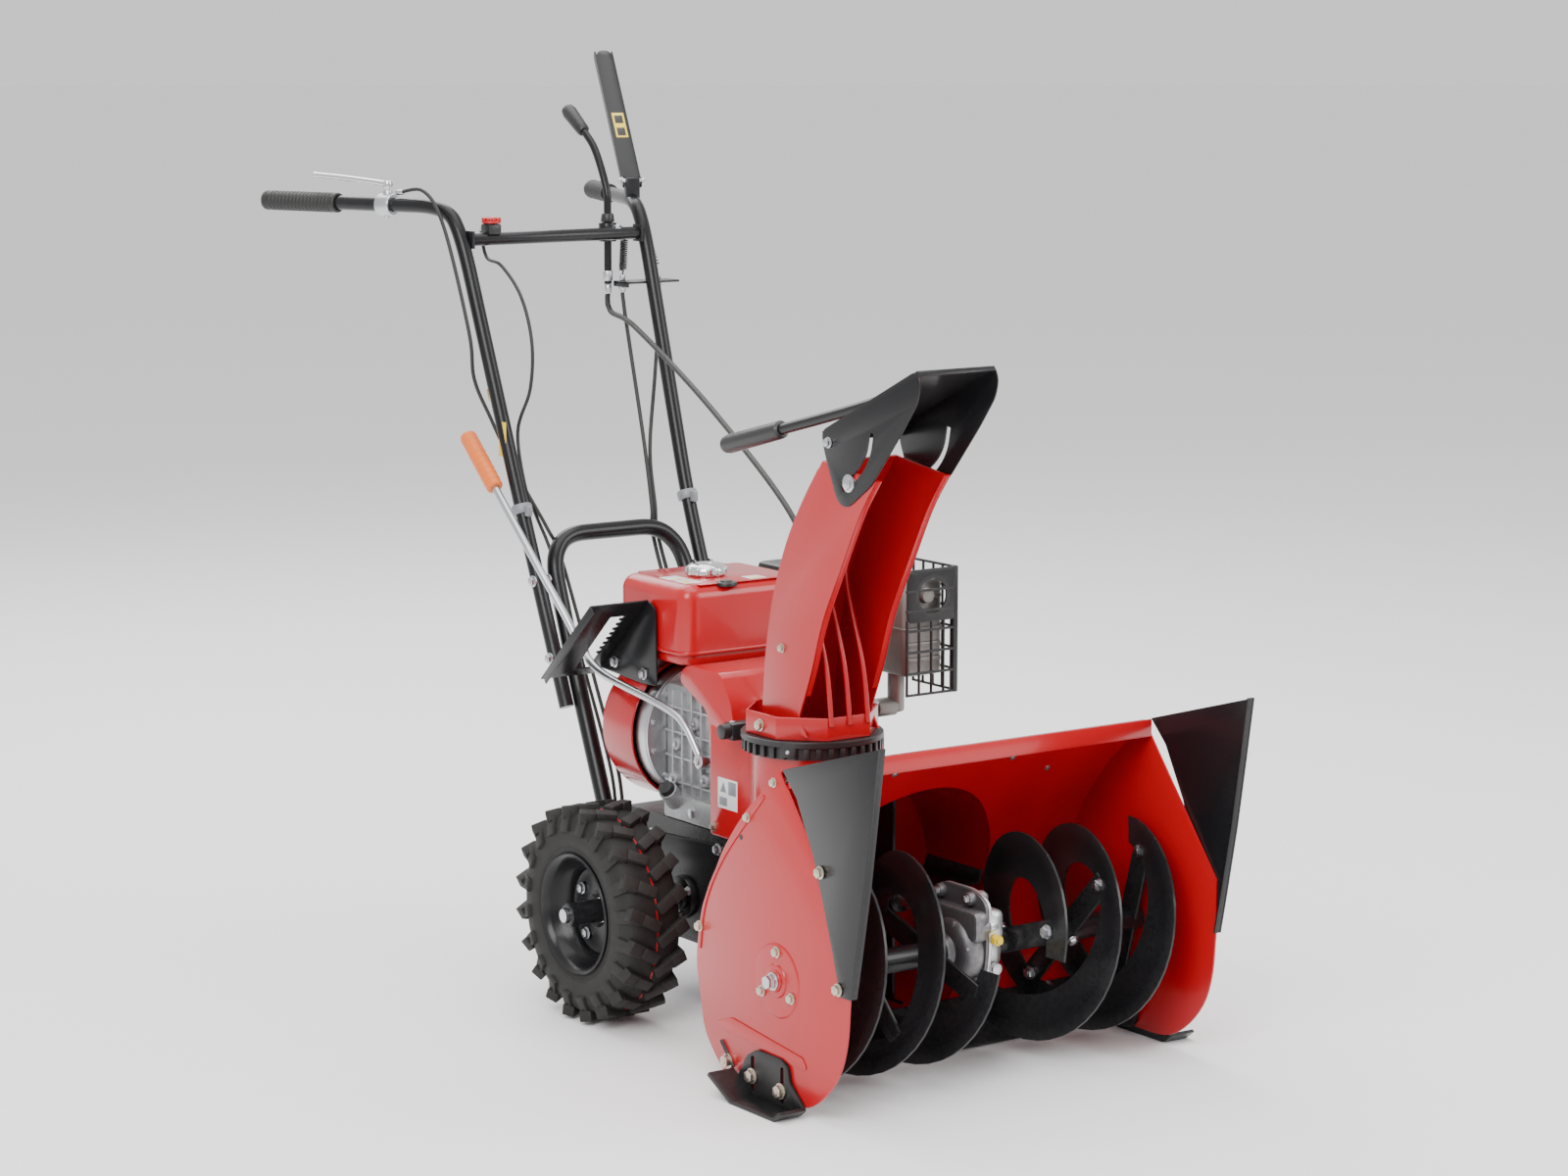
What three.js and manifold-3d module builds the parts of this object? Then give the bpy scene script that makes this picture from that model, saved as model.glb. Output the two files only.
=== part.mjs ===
// Two-stage snow blower, millimetres, +Z up, auger mouth towards -Y, operator towards +Y.
// Right and left are the operator's: right is -X, left is +X.
import * as THREE from 'three';
import { mergeVertices } from 'three/addons/utils/BufferGeometryUtils.js';
import Module from 'manifold-3d';

const wasm = await Module();
wasm.setup();

// ---------- driving dimensions ----------
const GAP = 0.3; // running clearance between neighbouring pieces
const SHIFT_Y = -500.6; // the auger datum sits this far in front of the machine's centre

const HOUSING_HALF = 306; // outer half-width of the auger housing
const PANEL_T = 3; // side panel sheet
const WALL_T = 3; // rear wall sheet

const AUGER_Y = -88;
const AUGER_Z = 169;
const AUGER_R = 143;
const AUGER_PITCH = 190;
const SHAFT_R = 10;

const IMPELLER_Z = 207;
const DRUM_R = 166;
const DRUM_BACK = 220;

const RING_X = -92;
const RING_Y = 136;
const RING_R = 96;
const RING_Z = 414;
const RING_H = 26;

const CHASSIS_HALF = 112;
const CHASSIS_TOP = 262;
const CHASSIS_LOW = 92;

const WHEEL_Y = 418;
const WHEEL_R = 155;
const WHEEL_X = 254;
const LUG_TOP = 154.6;
const RIM_R = 80;

const CRANK_X = -34;
const CRANK_Z = 377;
const PULLEY_Y = 244;
const PULLEY_W = 16;
const BIG_PULLEY_R = 92;
const SMALL_PULLEY_R = 27;

const CAP_X = -20; // fuel cap
const CAP_Y = 500;

const TUBE_R = 12.5; // lower handle
const LEG_R = 11; // upper handle legs
const GRIP_R = 15.5;

// ---------- finishes ----------
const finish = (color, roughness, metalness) => () =>
  new THREE.MeshStandardMaterial({ color, roughness, metalness });
const RED = finish(0xc8141c, 0.35, 0.1);
const BLACK = finish(0x17181a, 0.45, 0.1);
const PLASTIC = finish(0x1c1d1f, 0.6, 0.0);
const RUBBER = finish(0x161616, 0.9, 0.0);
const STEEL = finish(0xb8bcc0, 0.3, 0.9);
const CAST = finish(0x8d9093, 0.6, 0.7);
const ORANGE = finish(0xe8641c, 0.5, 0.0);

// ---------- shape helpers ----------
const box = (x0, x1, y0, y1, z0, z1) =>
  new THREE.BoxGeometry(x1 - x0, y1 - y0, z1 - z0).translate((x0 + x1) / 2, (y0 + y1) / 2, (z0 + z1) / 2);

// Cylinder along one axis, between two stations of that axis.
function rod(axis, a, b, from, to, radius, segments = 20, radiusTo = radius) {
  const shape = new THREE.CylinderGeometry(radiusTo, radius, to - from, segments);
  const mid = (from + to) / 2;
  if (axis === 'x') return shape.rotateZ(-Math.PI / 2).translate(mid, a, b);
  if (axis === 'y') return shape.translate(a, mid, b);
  return shape.rotateX(Math.PI / 2).translate(a, b, mid);
}

const outline = (points) => new THREE.Shape(points.map(([u, v]) => new THREE.Vector2(u, v)));

function plate(points, depth, holes = [], curveSegments = 10) {
  const shape = outline(points);
  holes.forEach(([u, v, r]) => shape.holes.push(new THREE.Path().absarc(u, v, r, 0, Math.PI * 2, true)));
  return new THREE.ExtrudeGeometry(shape, { depth, bevelEnabled: false, curveSegments });
}

// Outlines drawn in (Y, Z), (X, Z) and (X, Y), pushed along the third axis.
function alongX(points, x0, x1, holes) {
  const turn = new THREE.Matrix4().set(0, 0, 1, x0, 1, 0, 0, 0, 0, 1, 0, 0, 0, 0, 0, 1);
  return plate(points, x1 - x0, holes).applyMatrix4(turn);
}

function alongY(points, y0, y1, holes) {
  const turn = new THREE.Matrix4().set(1, 0, 0, 0, 0, 0, -1, y1, 0, 1, 0, 0, 0, 0, 0, 1);
  return plate(points, y1 - y0, holes).applyMatrix4(turn);
}

const alongZ = (points, z0, z1, holes) => plate(points, z1 - z0, holes).translate(0, 0, z0);

// Ring or cup turned about X, Y or Z from a closed (radius, station) outline.
function turned(axis, a, b, profile, segments = 32) {
  const points = profile.map(([r, s]) => new THREE.Vector2(r, s));
  points.push(points[0].clone());
  const shape = new THREE.LatheGeometry(points, segments);
  if (axis === 'x') return shape.rotateZ(-Math.PI / 2).translate(0, a, b);
  if (axis === 'y') return shape.translate(a, 0, b);
  return shape.rotateX(Math.PI / 2).translate(a, b, 0);
}

// Sheet strip of even thickness that follows an open line.
function strip(points, thickness) {
  const side = [];
  points.forEach(([u, v], i) => {
    const [pu, pv] = points[Math.max(i - 1, 0)];
    const [nu, nv] = points[Math.min(i + 1, points.length - 1)];
    const length = Math.hypot(nu - pu, nv - pv);
    side.push([u - ((nv - pv) / length) * thickness, v + ((nu - pu) / length) * thickness]);
  });
  return points.concat(side.reverse());
}

// Closed sweep of a section along a list of points, frames carried without twist.
function sweep(points, section) {
  const path = points.map((p) => new THREE.Vector3(...p));
  const n = section.length;
  const positions = [];
  const start = path[1].clone().sub(path[0]).normalize();
  let normal = Math.abs(start.z) > 0.9 ? new THREE.Vector3(0, 1, 0) : new THREE.Vector3(0, 0, 1);
  path.forEach((p, i) => {
    const ahead = path[Math.min(i + 1, path.length - 1)].clone().sub(p).normalize();
    const behind = p.clone().sub(path[Math.max(i - 1, 0)]).normalize();
    const tangent = ahead.add(behind).normalize();
    normal = normal.sub(tangent.clone().multiplyScalar(normal.dot(tangent))).normalize();
    const side = tangent.clone().cross(normal);
    section.forEach(([u, v]) => {
      const q = p.clone().addScaledVector(side, u).addScaledVector(normal, v);
      positions.push(q.x, q.y, q.z);
    });
  });
  const faces = [];
  for (let i = 0; i < path.length - 1; i += 1) {
    for (let j = 0; j < n; j += 1) {
      const a = i * n + j;
      const b = i * n + ((j + 1) % n);
      faces.push(a, a + n, b, b, a + n, b + n);
    }
  }
  const last = (path.length - 1) * n;
  for (let j = 1; j < n - 1; j += 1) {
    faces.push(0, j, j + 1);
    faces.push(last, last + j + 1, last + j);
  }
  const geometry = new THREE.BufferGeometry();
  geometry.setAttribute('position', new THREE.Float32BufferAttribute(positions, 3));
  geometry.setIndex(faces);
  return geometry;
}

const circle = (radius, segments) =>
  Array.from({ length: segments }, (_, i) => {
    const t = (2 * Math.PI * i) / segments;
    return [radius * Math.cos(t), radius * Math.sin(t)];
  });

// Corner points replaced by short arcs.
function rounded(points, radius, steps = 4) {
  const path = points.map((p) => new THREE.Vector3(...p));
  const out = [points[0]];
  for (let i = 1; i < path.length - 1; i += 1) {
    const before = path[i - 1].clone().sub(path[i]);
    const after = path[i + 1].clone().sub(path[i]);
    const reach = Math.min(radius, before.length() * 0.48, after.length() * 0.48);
    const start = path[i].clone().addScaledVector(before.normalize(), reach);
    const end = path[i].clone().addScaledVector(after.normalize(), reach);
    const bend = new THREE.QuadraticBezierCurve3(start, path[i], end);
    bend.getPoints(steps).forEach((p) => out.push(p.toArray()));
  }
  out.push(points[points.length - 1]);
  return out;
}

const pipe = (points, radius, bend = 40, segments = 10, steps = 4) =>
  sweep(rounded(points, bend, steps), circle(radius, segments));

const flip = (points) => points.map(([x, y, z]) => [-x, y, z]);

// ---------- booleans ----------
function solid(geometry) {
  const bare = geometry.clone();
  bare.deleteAttribute('normal');
  bare.deleteAttribute('uv');
  const merged = mergeVertices(bare, 1e-4);
  return new wasm.Manifold(
    new wasm.Mesh({
      numProp: 3,
      vertProperties: new Float32Array(merged.attributes.position.array),
      triVerts: new Uint32Array(merged.index.array),
    }),
  );
}

function shell(body) {
  const mesh = body.getMesh();
  const geometry = new THREE.BufferGeometry();
  geometry.setAttribute('position', new THREE.Float32BufferAttribute(mesh.vertProperties, 3));
  geometry.setIndex(new THREE.Uint32BufferAttribute(mesh.triVerts, 1));
  return geometry;
}

function join(...parts) {
  return shell(parts.map(solid).reduce((a, b) => a.add(b)));
}

function cut(body, ...tools) {
  return shell(tools.map(solid).reduce((a, b) => a.subtract(b), solid(body)));
}

// ---------- assembly ----------
const group = new THREE.Group();
group.name = 'snow_blower';

function add(name, geometry, material) {
  const flat = geometry.index ? geometry.toNonIndexed() : geometry.clone();
  flat.translate(0, SHIFT_Y, 0);
  flat.computeVertexNormals();
  const mesh = new THREE.Mesh(flat, material());
  mesh.name = name;
  group.add(mesh);
}

function addPair(name, build, material) {
  [['right', -1], ['left', 1]].forEach(([hand, side]) => add(`${name}_${hand}`, build(side), material));
}

// Range along X on the machine's right (side -1) or left (side 1).
const span = (side, near, far) => (side > 0 ? [near, far] : [-far, -near]);

// ---------- auger housing ----------
const WALL_LINE = [
  [-106, 446], [-94, 446], [-60, 416], [-14, 374], [32, 318], [60, 267],
  [78, 235], [87, 199], [90, 161], [84, 120], [70, 82], [42, 52], [30, 40],
];

function augerHousing() {
  const half = HOUSING_HALF - PANEL_T - GAP;
  const wall = alongX(strip([...WALL_LINE].reverse(), WALL_T), -half, half);
  const lip = box(-half, half, -109, -106, 428, 449);
  const drum = rod('y', 0, IMPELLER_Z, 0, DRUM_BACK, DRUM_R + WALL_T, 30);
  const stub = rod('z', RING_X, RING_Y, IMPELLER_Z, RING_Z - GAP, 82, 24);
  const wallFront = alongX(
    [...WALL_LINE.map(([y, z]) => [y - 2, z]), [28, -40], [-260, -40], [-260, 446]], -half, half,
  );
  const drumShell = cut(
    join(drum, stub),
    rod('y', 0, IMPELLER_Z, -5, DRUM_BACK - WALL_T, DRUM_R, 30),
    rod('z', RING_X, RING_Y, IMPELLER_Z, RING_Z + 5, 79, 24),
    wallFront,
    rod('y', 0, IMPELLER_Z, 200, DRUM_BACK + 5, 22, 16),
  );
  const opened = cut(wall, rod('y', 0, IMPELLER_Z, -60, 200, DRUM_R, 30));
  return join(opened, lip, drumShell);
}

const PANEL_EDGE = [
  [-97, 449], [-61, 421], [-14, 380], [36, 322], [66, 270], [85, 236], [96, 199], [100, 161],
  [93, 118], [80, 62], [37, 21], [1, 14], [-40, 11], [-90, 11], [-143, 16], [-187, 38],
  [-221, 76], [-240, 117], [-246, 153], [-246, 173], [-232, 200], [-200, 268], [-160, 356], [-118, 444],
];

function sidePanel(side) {
  const [x0, x1] = span(side, HOUSING_HALF - PANEL_T, HOUSING_HALF);
  const [h0, h1] = [x0 - 2, x1 + 2];
  return cut(
    alongX(PANEL_EDGE, x0, x1), rod('x', AUGER_Y, AUGER_Z, h0, h1, 16, 18),
    rod('x', -5, 343, h0, h1, 3.5, 8),
  );
}

function driftWing(side) {
  const [x0, x1] = span(side, HOUSING_HALF + GAP, HOUSING_HALF + GAP + PANEL_T);
  const edge = [
    [-103, 450], [-309, 508], [-297, 429], [-281, 329], [-262, 231], [-251, 178], [-228, 178],
    [-196, 288],
  ];
  return alongX([...edge, [-158, 378]], x0, x1);
}

function scraperBar() {
  const half = HOUSING_HALF - PANEL_T - 3 * GAP;
  return alongX([[40.5, 57.5], [36.8, 61], [-15, 6.5], [-12, 3], [-11, 3]], -half, half);
}

function skidShoe(side) {
  const [x0, x1] = span(side, HOUSING_HALF + GAP, HOUSING_HALF + GAP + 4);
  const [f0, f1] = span(side, HOUSING_HALF + GAP, HOUSING_HALF + 44);
  const face = [
    [-26, 55], [-46, 69], [-102, 67], [-117, 62], [-121, 41], [-155, 12], [-140, 0], [-40, 0], [0, 14],
  ];
  const runner = [[-155, 12], [-140, 0], [-40, 0], [12, 26], [9, 31], [-41, 4.5], [-138, 4.5], [-151, 15]];
  const slots = [-38, -103].map((y) => box(x0 - 1, x1 + 1, y - 3.5, y + 3.5, 12, 56));
  return cut(join(alongX(face, x0, x1), alongX(runner, f0, f1)), ...slots);
}

function bearingFlange(side) {
  const corners = [95, 215, 335].map((deg) => (deg * Math.PI) / 180);
  const edge = corners.flatMap((t) => [-0.3, 0.3].map((d) => [
    AUGER_Y + 40 * Math.cos(t + d),
    AUGER_Z + 40 * Math.sin(t + d),
  ]));
  const base = alongX(edge, ...span(side, HOUSING_HALF + GAP, HOUSING_HALF + 3));
  const cup = rod('x', AUGER_Y, AUGER_Z, ...span(side, HOUSING_HALF + 1, HOUSING_HALF + 9), 20, 18);
  const heads = corners.map((t) => rod(
    'x', AUGER_Y + 31 * Math.cos(t), AUGER_Z + 31 * Math.sin(t), ...span(
      side, HOUSING_HALF + 1, HOUSING_HALF + 8,
    ), 6, 6));
  const bore = rod(
    'x', AUGER_Y, AUGER_Z, ...span(side, HOUSING_HALF - 20, HOUSING_HALF + 20), SHAFT_R + GAP, 16,
  );
  return cut(join(base, cup, ...heads), bore);
}

// ---------- auger and gearbox ----------
function gearEdge(y, z, root, tip, count) {
  const points = [];
  for (let i = 0; i < count; i += 1) {
    const t = (2 * Math.PI * i) / count;
    const w = Math.PI / count;
    [[root, -0.6], [tip, -0.3], [tip, 0.3], [root, 0.6]].forEach(([r, k]) => {
      points.push([y + r * Math.cos(t + k * w), z + r * Math.sin(t + k * w)]);
    });
  }
  return points;
}

// The worm wheel is keyed to the shaft and turns with it.
function augerShaft() {
  const end = HOUSING_HALF + 12;
  return join(
    rod('x', AUGER_Y, AUGER_Z, -end, end, SHAFT_R, 16),
    rod('x', AUGER_Y, AUGER_Z, end - 1, end + 7, 9, 6),
    rod('x', AUGER_Y, AUGER_Z, -end - 7, -end + 1, 9, 6),
    alongX(gearEdge(AUGER_Y, AUGER_Z, 24, 27, 18), -9, 9),
  );
}

function gearboxHalf(side) {
  const [x0, x1] = span(side, 0.15, 34);
  const [c0, c1] = side > 0 ? [-1, 30] : [-30, 1];
  const [n0, n1] = span(side, 30, 44);
  const round = rod('x', AUGER_Y, AUGER_Z, x0, x1, 47, 20);
  const throat = rod('y', 0, IMPELLER_Z, -142, -20, 25, 16);
  const ears = [[-108, 236], [-40, 240], [-122, 128], [-52, 126]].map(
    ([y, z]) => rod('x', y, z, ...span(side, 0.15, 14), 11, 8),
  );
  const neck = rod('x', AUGER_Y, AUGER_Z, n0, n1, 18, 14);
  const ownSide = box(...span(side, 0.15, 60), -150, -10, 90, 290);
  const halfThroat = shell(solid(throat).intersect(solid(ownSide)));
  const outer = join(round, halfThroat, neck, ...ears);
  const hollow = [
    rod('x', AUGER_Y, AUGER_Z, c0, c1, 34, 16),
    rod('y', 0, IMPELLER_Z, -132, -26, 16, 14),
    rod('x', AUGER_Y, AUGER_Z, -60, 60, SHAFT_R + GAP, 16),
    rod('y', 0, IMPELLER_Z, -60, 0, SHAFT_R + GAP, 16),
  ];
  return cut(outer, ...hollow);
}

function impellerShaft() {
  return join(
    rod('y', 0, IMPELLER_Z, -120, PULLEY_Y + PULLEY_W + 2, SHAFT_R, 16),
    rod('y', 0, IMPELLER_Z, AUGER_Y - 20, AUGER_Y + 20, SHAFT_R + 0.6, 16),
  );
}

function augerFlight(side) {
  const from = 52;
  const to = HOUSING_HALF - PANEL_T - 8;
  const turns = (to - from) / AUGER_PITCH;
  const steps = Math.round(turns * 15);
  const ribbon = (phase) => {
    const points = [];
    const inner = AUGER_R - 46;
    const positions = [];
    for (let i = 0; i <= steps; i += 1) {
      const s = i / steps;
      const t = phase - side * 2 * Math.PI * turns * s;
      const x = side * (from + 2 + (to - from - 4) * s);
      points.push([x, t]);
    }
    points.forEach(([x, t]) => {
      [[inner, -2], [AUGER_R, -2], [AUGER_R, 2], [inner, 2]].forEach(([r, w]) => {
        positions.push(x + w, AUGER_Y + r * Math.cos(t), AUGER_Z + r * Math.sin(t));
      });
    });
    const faces = [];
    for (let i = 0; i < points.length - 1; i += 1) {
      for (let j = 0; j < 4; j += 1) {
        const a = i * 4 + j;
        const b = i * 4 + ((j + 1) % 4);
        faces.push(a, a + 4, b, b, a + 4, b + 4);
      }
    }
    const last = (points.length - 1) * 4;
    faces.push(0, 1, 2, 0, 2, 3, last, last + 2, last + 1, last, last + 3, last + 2);
    const geometry = new THREE.BufferGeometry();
    geometry.setAttribute('position', new THREE.Float32BufferAttribute(positions, 3));
    geometry.setIndex(faces);
    return geometry;
  };
  const arms = [0.04, 0.96].map((s) => {
    const t = -side * 2 * Math.PI * turns * s;
    const x = side * (from + 2 + (to - from - 4) * s);
    const bar = box(-3, 3, -104, 104, -17, 17);
    return bar.rotateX(t).translate(x, AUGER_Y, AUGER_Z);
  });
  const [x0, x1] = span(side, from - 6, to + 4);
  const tube = rod('x', AUGER_Y, AUGER_Z, x0, x1, 17, 14);
  const body = join(tube, fixWinding(ribbon(0)), fixWinding(ribbon(Math.PI)), ...arms);
  return cut(body, rod('x', AUGER_Y, AUGER_Z, x0 - 1, x1 + 1, SHAFT_R + GAP, 16));
}

// A swept ribbon whose faces look inwards is turned right side out.
function fixWinding(geometry) {
  const p = geometry.attributes.position;
  const index = geometry.index.array;
  let volume = 0;
  for (let i = 0; i < index.length; i += 3) {
    const [a, b, c] = [0, 1, 2].map((k) => new THREE.Vector3().fromBufferAttribute(p, index[i + k]));
    volume += a.dot(b.cross(c));
  }
  if (volume > 0) return geometry;
  const turnedIndex = Array.from(index);
  for (let i = 0; i < index.length; i += 3) {
    [turnedIndex[i + 1], turnedIndex[i + 2]] = [index[i + 2], index[i + 1]];
  }
  geometry.setIndex(turnedIndex);
  return geometry;
}

function impeller() {
  const y0 = 72;
  const y1 = 196;
  const blades = [0, 90, 180, 270].map((deg) => {
    const web = box(0, 146, y0, y1, -2, 2);
    const tip = box(-2, 2, y0, y1, 0, 20).rotateY(0.35).translate(146, 0, -2);
    return join(web, tip).rotateY((deg * Math.PI) / 180).translate(0, 0, IMPELLER_Z);
  });
  const hub = rod('y', 0, IMPELLER_Z, y0 - 6, y1 + 6, 19, 20);
  const disc = rod('y', 0, IMPELLER_Z, y1 - 4, y1, 70, 28);
  return cut(join(hub, disc, ...blades), rod('y', 0, IMPELLER_Z, 0, 250, SHAFT_R + GAP, 20));
}

// ---------- drive ----------
function pulley(x, z, radius, y0, width, bore) {
  const y1 = y0 + width;
  const mid = (y0 + y1) / 2;
  const profile = [
    [bore, y0], [radius, y0], [radius - 7.2, mid - 2], [radius - 7.2, mid + 2], [radius, y1],
    [bore, y1],
  ];
  return turned('y', x, z, profile, 24);
}

// One turning piece: pulleys, crank, flywheel and cooling fan.
function crankshaft() {
  const shaft = rod('y', CRANK_X, CRANK_Z, PULLEY_Y - 2, 560, 9.7, 12);
  const fan = [];
  for (let i = 0; i < 8; i += 1) {
    fan.push(box(40, 86, 536, 556, -2, 2).rotateY((Math.PI * i) / 4).translate(CRANK_X, 0, CRANK_Z));
  }
  return join(
    shaft,
    pulley(CRANK_X, CRANK_Z, SMALL_PULLEY_R, PULLEY_Y, PULLEY_W, 5),
    rod('y', CRANK_X, CRANK_Z, PULLEY_Y + PULLEY_W, PULLEY_Y + PULLEY_W + 26, 24, 16),
    rod('y', CRANK_X, CRANK_Z, 522, 538, 90, 24),
    ...fan,
  );
}

// The belt leaves both pulleys on their common tangents.
function augerBelt() {
  const inner = [BIG_PULLEY_R - 6.4, SMALL_PULLEY_R - 6.4];
  const dx = CRANK_X;
  const dz = CRANK_Z - IMPELLER_Z;
  const distance = Math.hypot(dx, dz);
  const heading = Math.atan2(dz, dx);
  const lean = Math.acos((inner[0] - inner[1]) / distance);
  const loop = (extra) => {
    const points = [];
    for (let i = 0; i <= 16; i += 1) {
      const t = heading + lean + ((2 * Math.PI - 2 * lean) * i) / 16;
      points.push([(inner[0] + extra) * Math.cos(t), IMPELLER_Z + (inner[0] + extra) * Math.sin(t)]);
    }
    for (let i = 0; i <= 10; i += 1) {
      const t = heading - lean + (2 * lean * i) / 10;
      points.push([CRANK_X + (inner[1] + extra) * Math.cos(t), CRANK_Z + (inner[1] + extra) * Math.sin(t)]);
    }
    return points;
  };
  const mid = PULLEY_Y + PULLEY_W / 2;
  const shape = outline(loop(7));
  shape.holes.push(new THREE.Path(loop(0).reverse().map(([u, v]) => new THREE.Vector2(u, v))));
  const turn = new THREE.Matrix4().set(1, 0, 0, 0, 0, 0, -1, mid + 1.7, 0, 1, 0, 0, 0, 0, 0, 1);
  return new THREE.ExtrudeGeometry(shape, { depth: 3.4, bevelEnabled: false }).applyMatrix4(turn);
}

function chassis() {
  const edge = [
    [224, 122], [264, CHASSIS_LOW], [560, CHASSIS_LOW], [596, 150], [596, 240], [570, CHASSIS_TOP],
    [224, CHASSIS_TOP],
  ];
  const body = alongX(edge, -CHASSIS_HALF, CHASSIS_HALF);
  const room = alongX(
    [
      [215, 125], [266, CHASSIS_LOW + 3], [558, CHASSIS_LOW + 3], [593, 152], [593, 238], [568, 259],
      [215, 259],
    ],
    -CHASSIS_HALF + 3,
    CHASSIS_HALF - 3,
  );
  const beltSlot = box(-106, 106, 210, 312, 250, 270);
  const axleHole = rod('x', WHEEL_Y, 155, -130, 130, 9.5 + GAP, 20);
  return cut(body, room, beltSlot, axleHole);
}

// The final drive gear is welded to the live axle.
function wheelAxle() {
  return join(
    rod('x', WHEEL_Y, WHEEL_R, -318, 318, 9.5, 16),
    alongX(gearEdge(WHEEL_Y, WHEEL_R, 43, 46, 20), -84, -70),
  );
}

// ---------- wheels ----------
function rim(side) {
  const edge = RIM_R + 4;
  const profile = [
    [9.9, 226], [16, 226], [16, 256], [66, 260], [70, 212], [edge, 206], [edge, 209],
    [73, 218], [73, 290], [edge, 300], [edge, 303], [70, 298], [66, 264], [16, 260], [16, 312], [9.9, 312],
  ];
  const points = profile.map(([r, s]) => [r, side * s]);
  return fixWinding(indexed(turned('x', WHEEL_Y, WHEEL_R, points, 20)));
}

function indexed(geometry) {
  const bare = geometry.clone();
  bare.deleteAttribute('normal');
  bare.deleteAttribute('uv');
  return mergeVertices(bare, 1e-4);
}

function tyre(side) {
  const c = WHEEL_X;
  const profile = [
    [74, c - 34], [90, c - 45], [132, c - 47], [146, c - 34],
    [146, c + 34], [132, c + 47], [90, c + 45], [74, c + 34],
  ];
  const points = profile.map(([r, s]) => [r, side * s]);
  const body = fixWinding(indexed(turned('x', WHEEL_Y, WHEEL_R, points, 24)));
  const lugs = [];
  const count = 10;
  for (let i = 0; i < count; i += 1) {
    const angle = (2 * Math.PI * i) / count;
    const half = Math.PI / count;
    const outer = box(4, 42, -9, 9, 138, LUG_TOP).rotateZ(-0.25).rotateX(angle);
    const inner = box(-42, -4, -9, 9, 138, LUG_TOP).rotateZ(0.25).rotateX(angle + half);
    [outer, inner].forEach((lug) => lugs.push(lug.translate(side * c, WHEEL_Y, WHEEL_R)));
  }
  return join(body, ...lugs);
}

// ---------- chute ----------
function chuteRing() {
  const teeth = 30;
  const edge = [];
  for (let i = 0; i < teeth * 2; i += 1) {
    const t = (Math.PI * i) / teeth;
    const r = i % 2 ? RING_R - 3 : RING_R;
    edge.push([RING_X + r * Math.cos(t), RING_Y + r * Math.sin(t)]);
  }
  const gear = alongZ(edge, RING_Z, RING_Z + RING_H - 8);
  const flange = rod('z', RING_X, RING_Y, RING_Z + RING_H - 9, RING_Z + RING_H, RING_R + 2, 36);
  return cut(join(gear, flange), rod('z', RING_X, RING_Y, RING_Z - 5, RING_Z + 60, 80, 28));
}

function wormHousing() {
  return join(
    box(RING_X - 62, RING_X - 6, RING_Y + RING_R + 4, RING_Y + RING_R + 30, RING_Z - 1, RING_Z + 24),
    rod('x', RING_Y + RING_R + 17, RING_Z + 12, RING_X - 74, RING_X + 14, 11, 12),
  );
}

// Curved rear and front edges of the chute's side walls, Y and Z.
const CHUTE_REAR = [[168, 446], [164, 498], [158, 553], [142, 625], [111, 702], [74, 762], [28, 822]];
const CHUTE_FRONT = [[-90, 806], [-54, 758], [-13, 684], [28, 607], [54, 534], [82, 470]];
const CHUTE_HALF = 59.5;

function dischargeChute() {
  const z0 = RING_Z + RING_H + GAP;
  const collarEdge = (r) => Array.from({ length: 8 }, (_, i) => {
    const t = (Math.PI * (i + 0.5)) / 4;
    return [RING_X + r * Math.cos(t), RING_Y + r * Math.sin(t)];
  });
  const collar = cut(alongZ(collarEdge(92), z0, z0 + 30), alongZ(collarEdge(89), z0 - 1, z0 + 31));
  const sideEdge = [...CHUTE_REAR, ...CHUTE_FRONT, [64, 446]];
  const walls = [-1, 1].map((side) => {
    const x = RING_X + side * CHUTE_HALF;
    return alongX(sideEdge, x - 1.5, x + 1.5);
  });
  const back = alongX(strip(CHUTE_REAR, 3), RING_X - CHUTE_HALF, RING_X + CHUTE_HALF);
  const bars = [-30, 0, 30].map((dx) => pipe(
    [[RING_X + dx, RING_Y - 87, z0 + 22], [RING_X + dx, 60, 540], [RING_X + dx, 99, 690]], 4, 20, 6, 1));
  return join(collar, ...walls, back, ...bars);
}

function deflector() {
  const side = [
    [22, 836], [28, 862], [-178, 957], [-187, 940], [-181, 916], [-148, 874], [-83, 800], [-28, 766],
    [-12, 770], [-8, 790],
  ];
  const half = CHUTE_HALF + 1.5 + GAP;
  const plates = [-1, 1].map((hand) => {
    const x = RING_X + hand * (half + 1.25);
    return alongX(side, x - 1.25, x + 1.25);
  });
  const top = alongX(
    [[24, 850], [26, 863], [-178, 957], [-179, 953.5]], RING_X - half - 1, RING_X + half + 1,
  );
  return join(...plates, top);
}

// Bar with its moulded-on grip.
function deflectorHandle() {
  const bar = pipe(
    [[RING_X, -60, 913.5], [RING_X, -30, 904.5], [RING_X, 60, 880], [RING_X, 225, 838.5]], 8, 20, 8, 2,
  );
  return join(bar, sweep([[RING_X, 212, 841.7], [RING_X, 345, 808]], circle(14, 12)));
}

// ---------- engine ----------
function crankcase() {
  const edge = [
    [344, CHASSIS_TOP + GAP], [344, 420], [372, 434], [410, 456], [484, 456], [484, CHASSIS_TOP + GAP],
  ];
  const body = alongX(edge, -106, 70);
  const front = rod('y', CRANK_X, CRANK_Z, 337, 350, 60, 24);
  const sump = box(-114, 76, 352, 476, CHASSIS_TOP + GAP, 300);
  const backPlate = rod('y', CRANK_X, CRANK_Z, 483, 515, 100, 28);
  const duct = box(CRANK_X, 92, 483, 515, 330, 440);
  return cut(join(body, front, sump, backPlate, duct), rod('y', CRANK_X, CRANK_Z, 300, 530, 10, 16));
}

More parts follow.
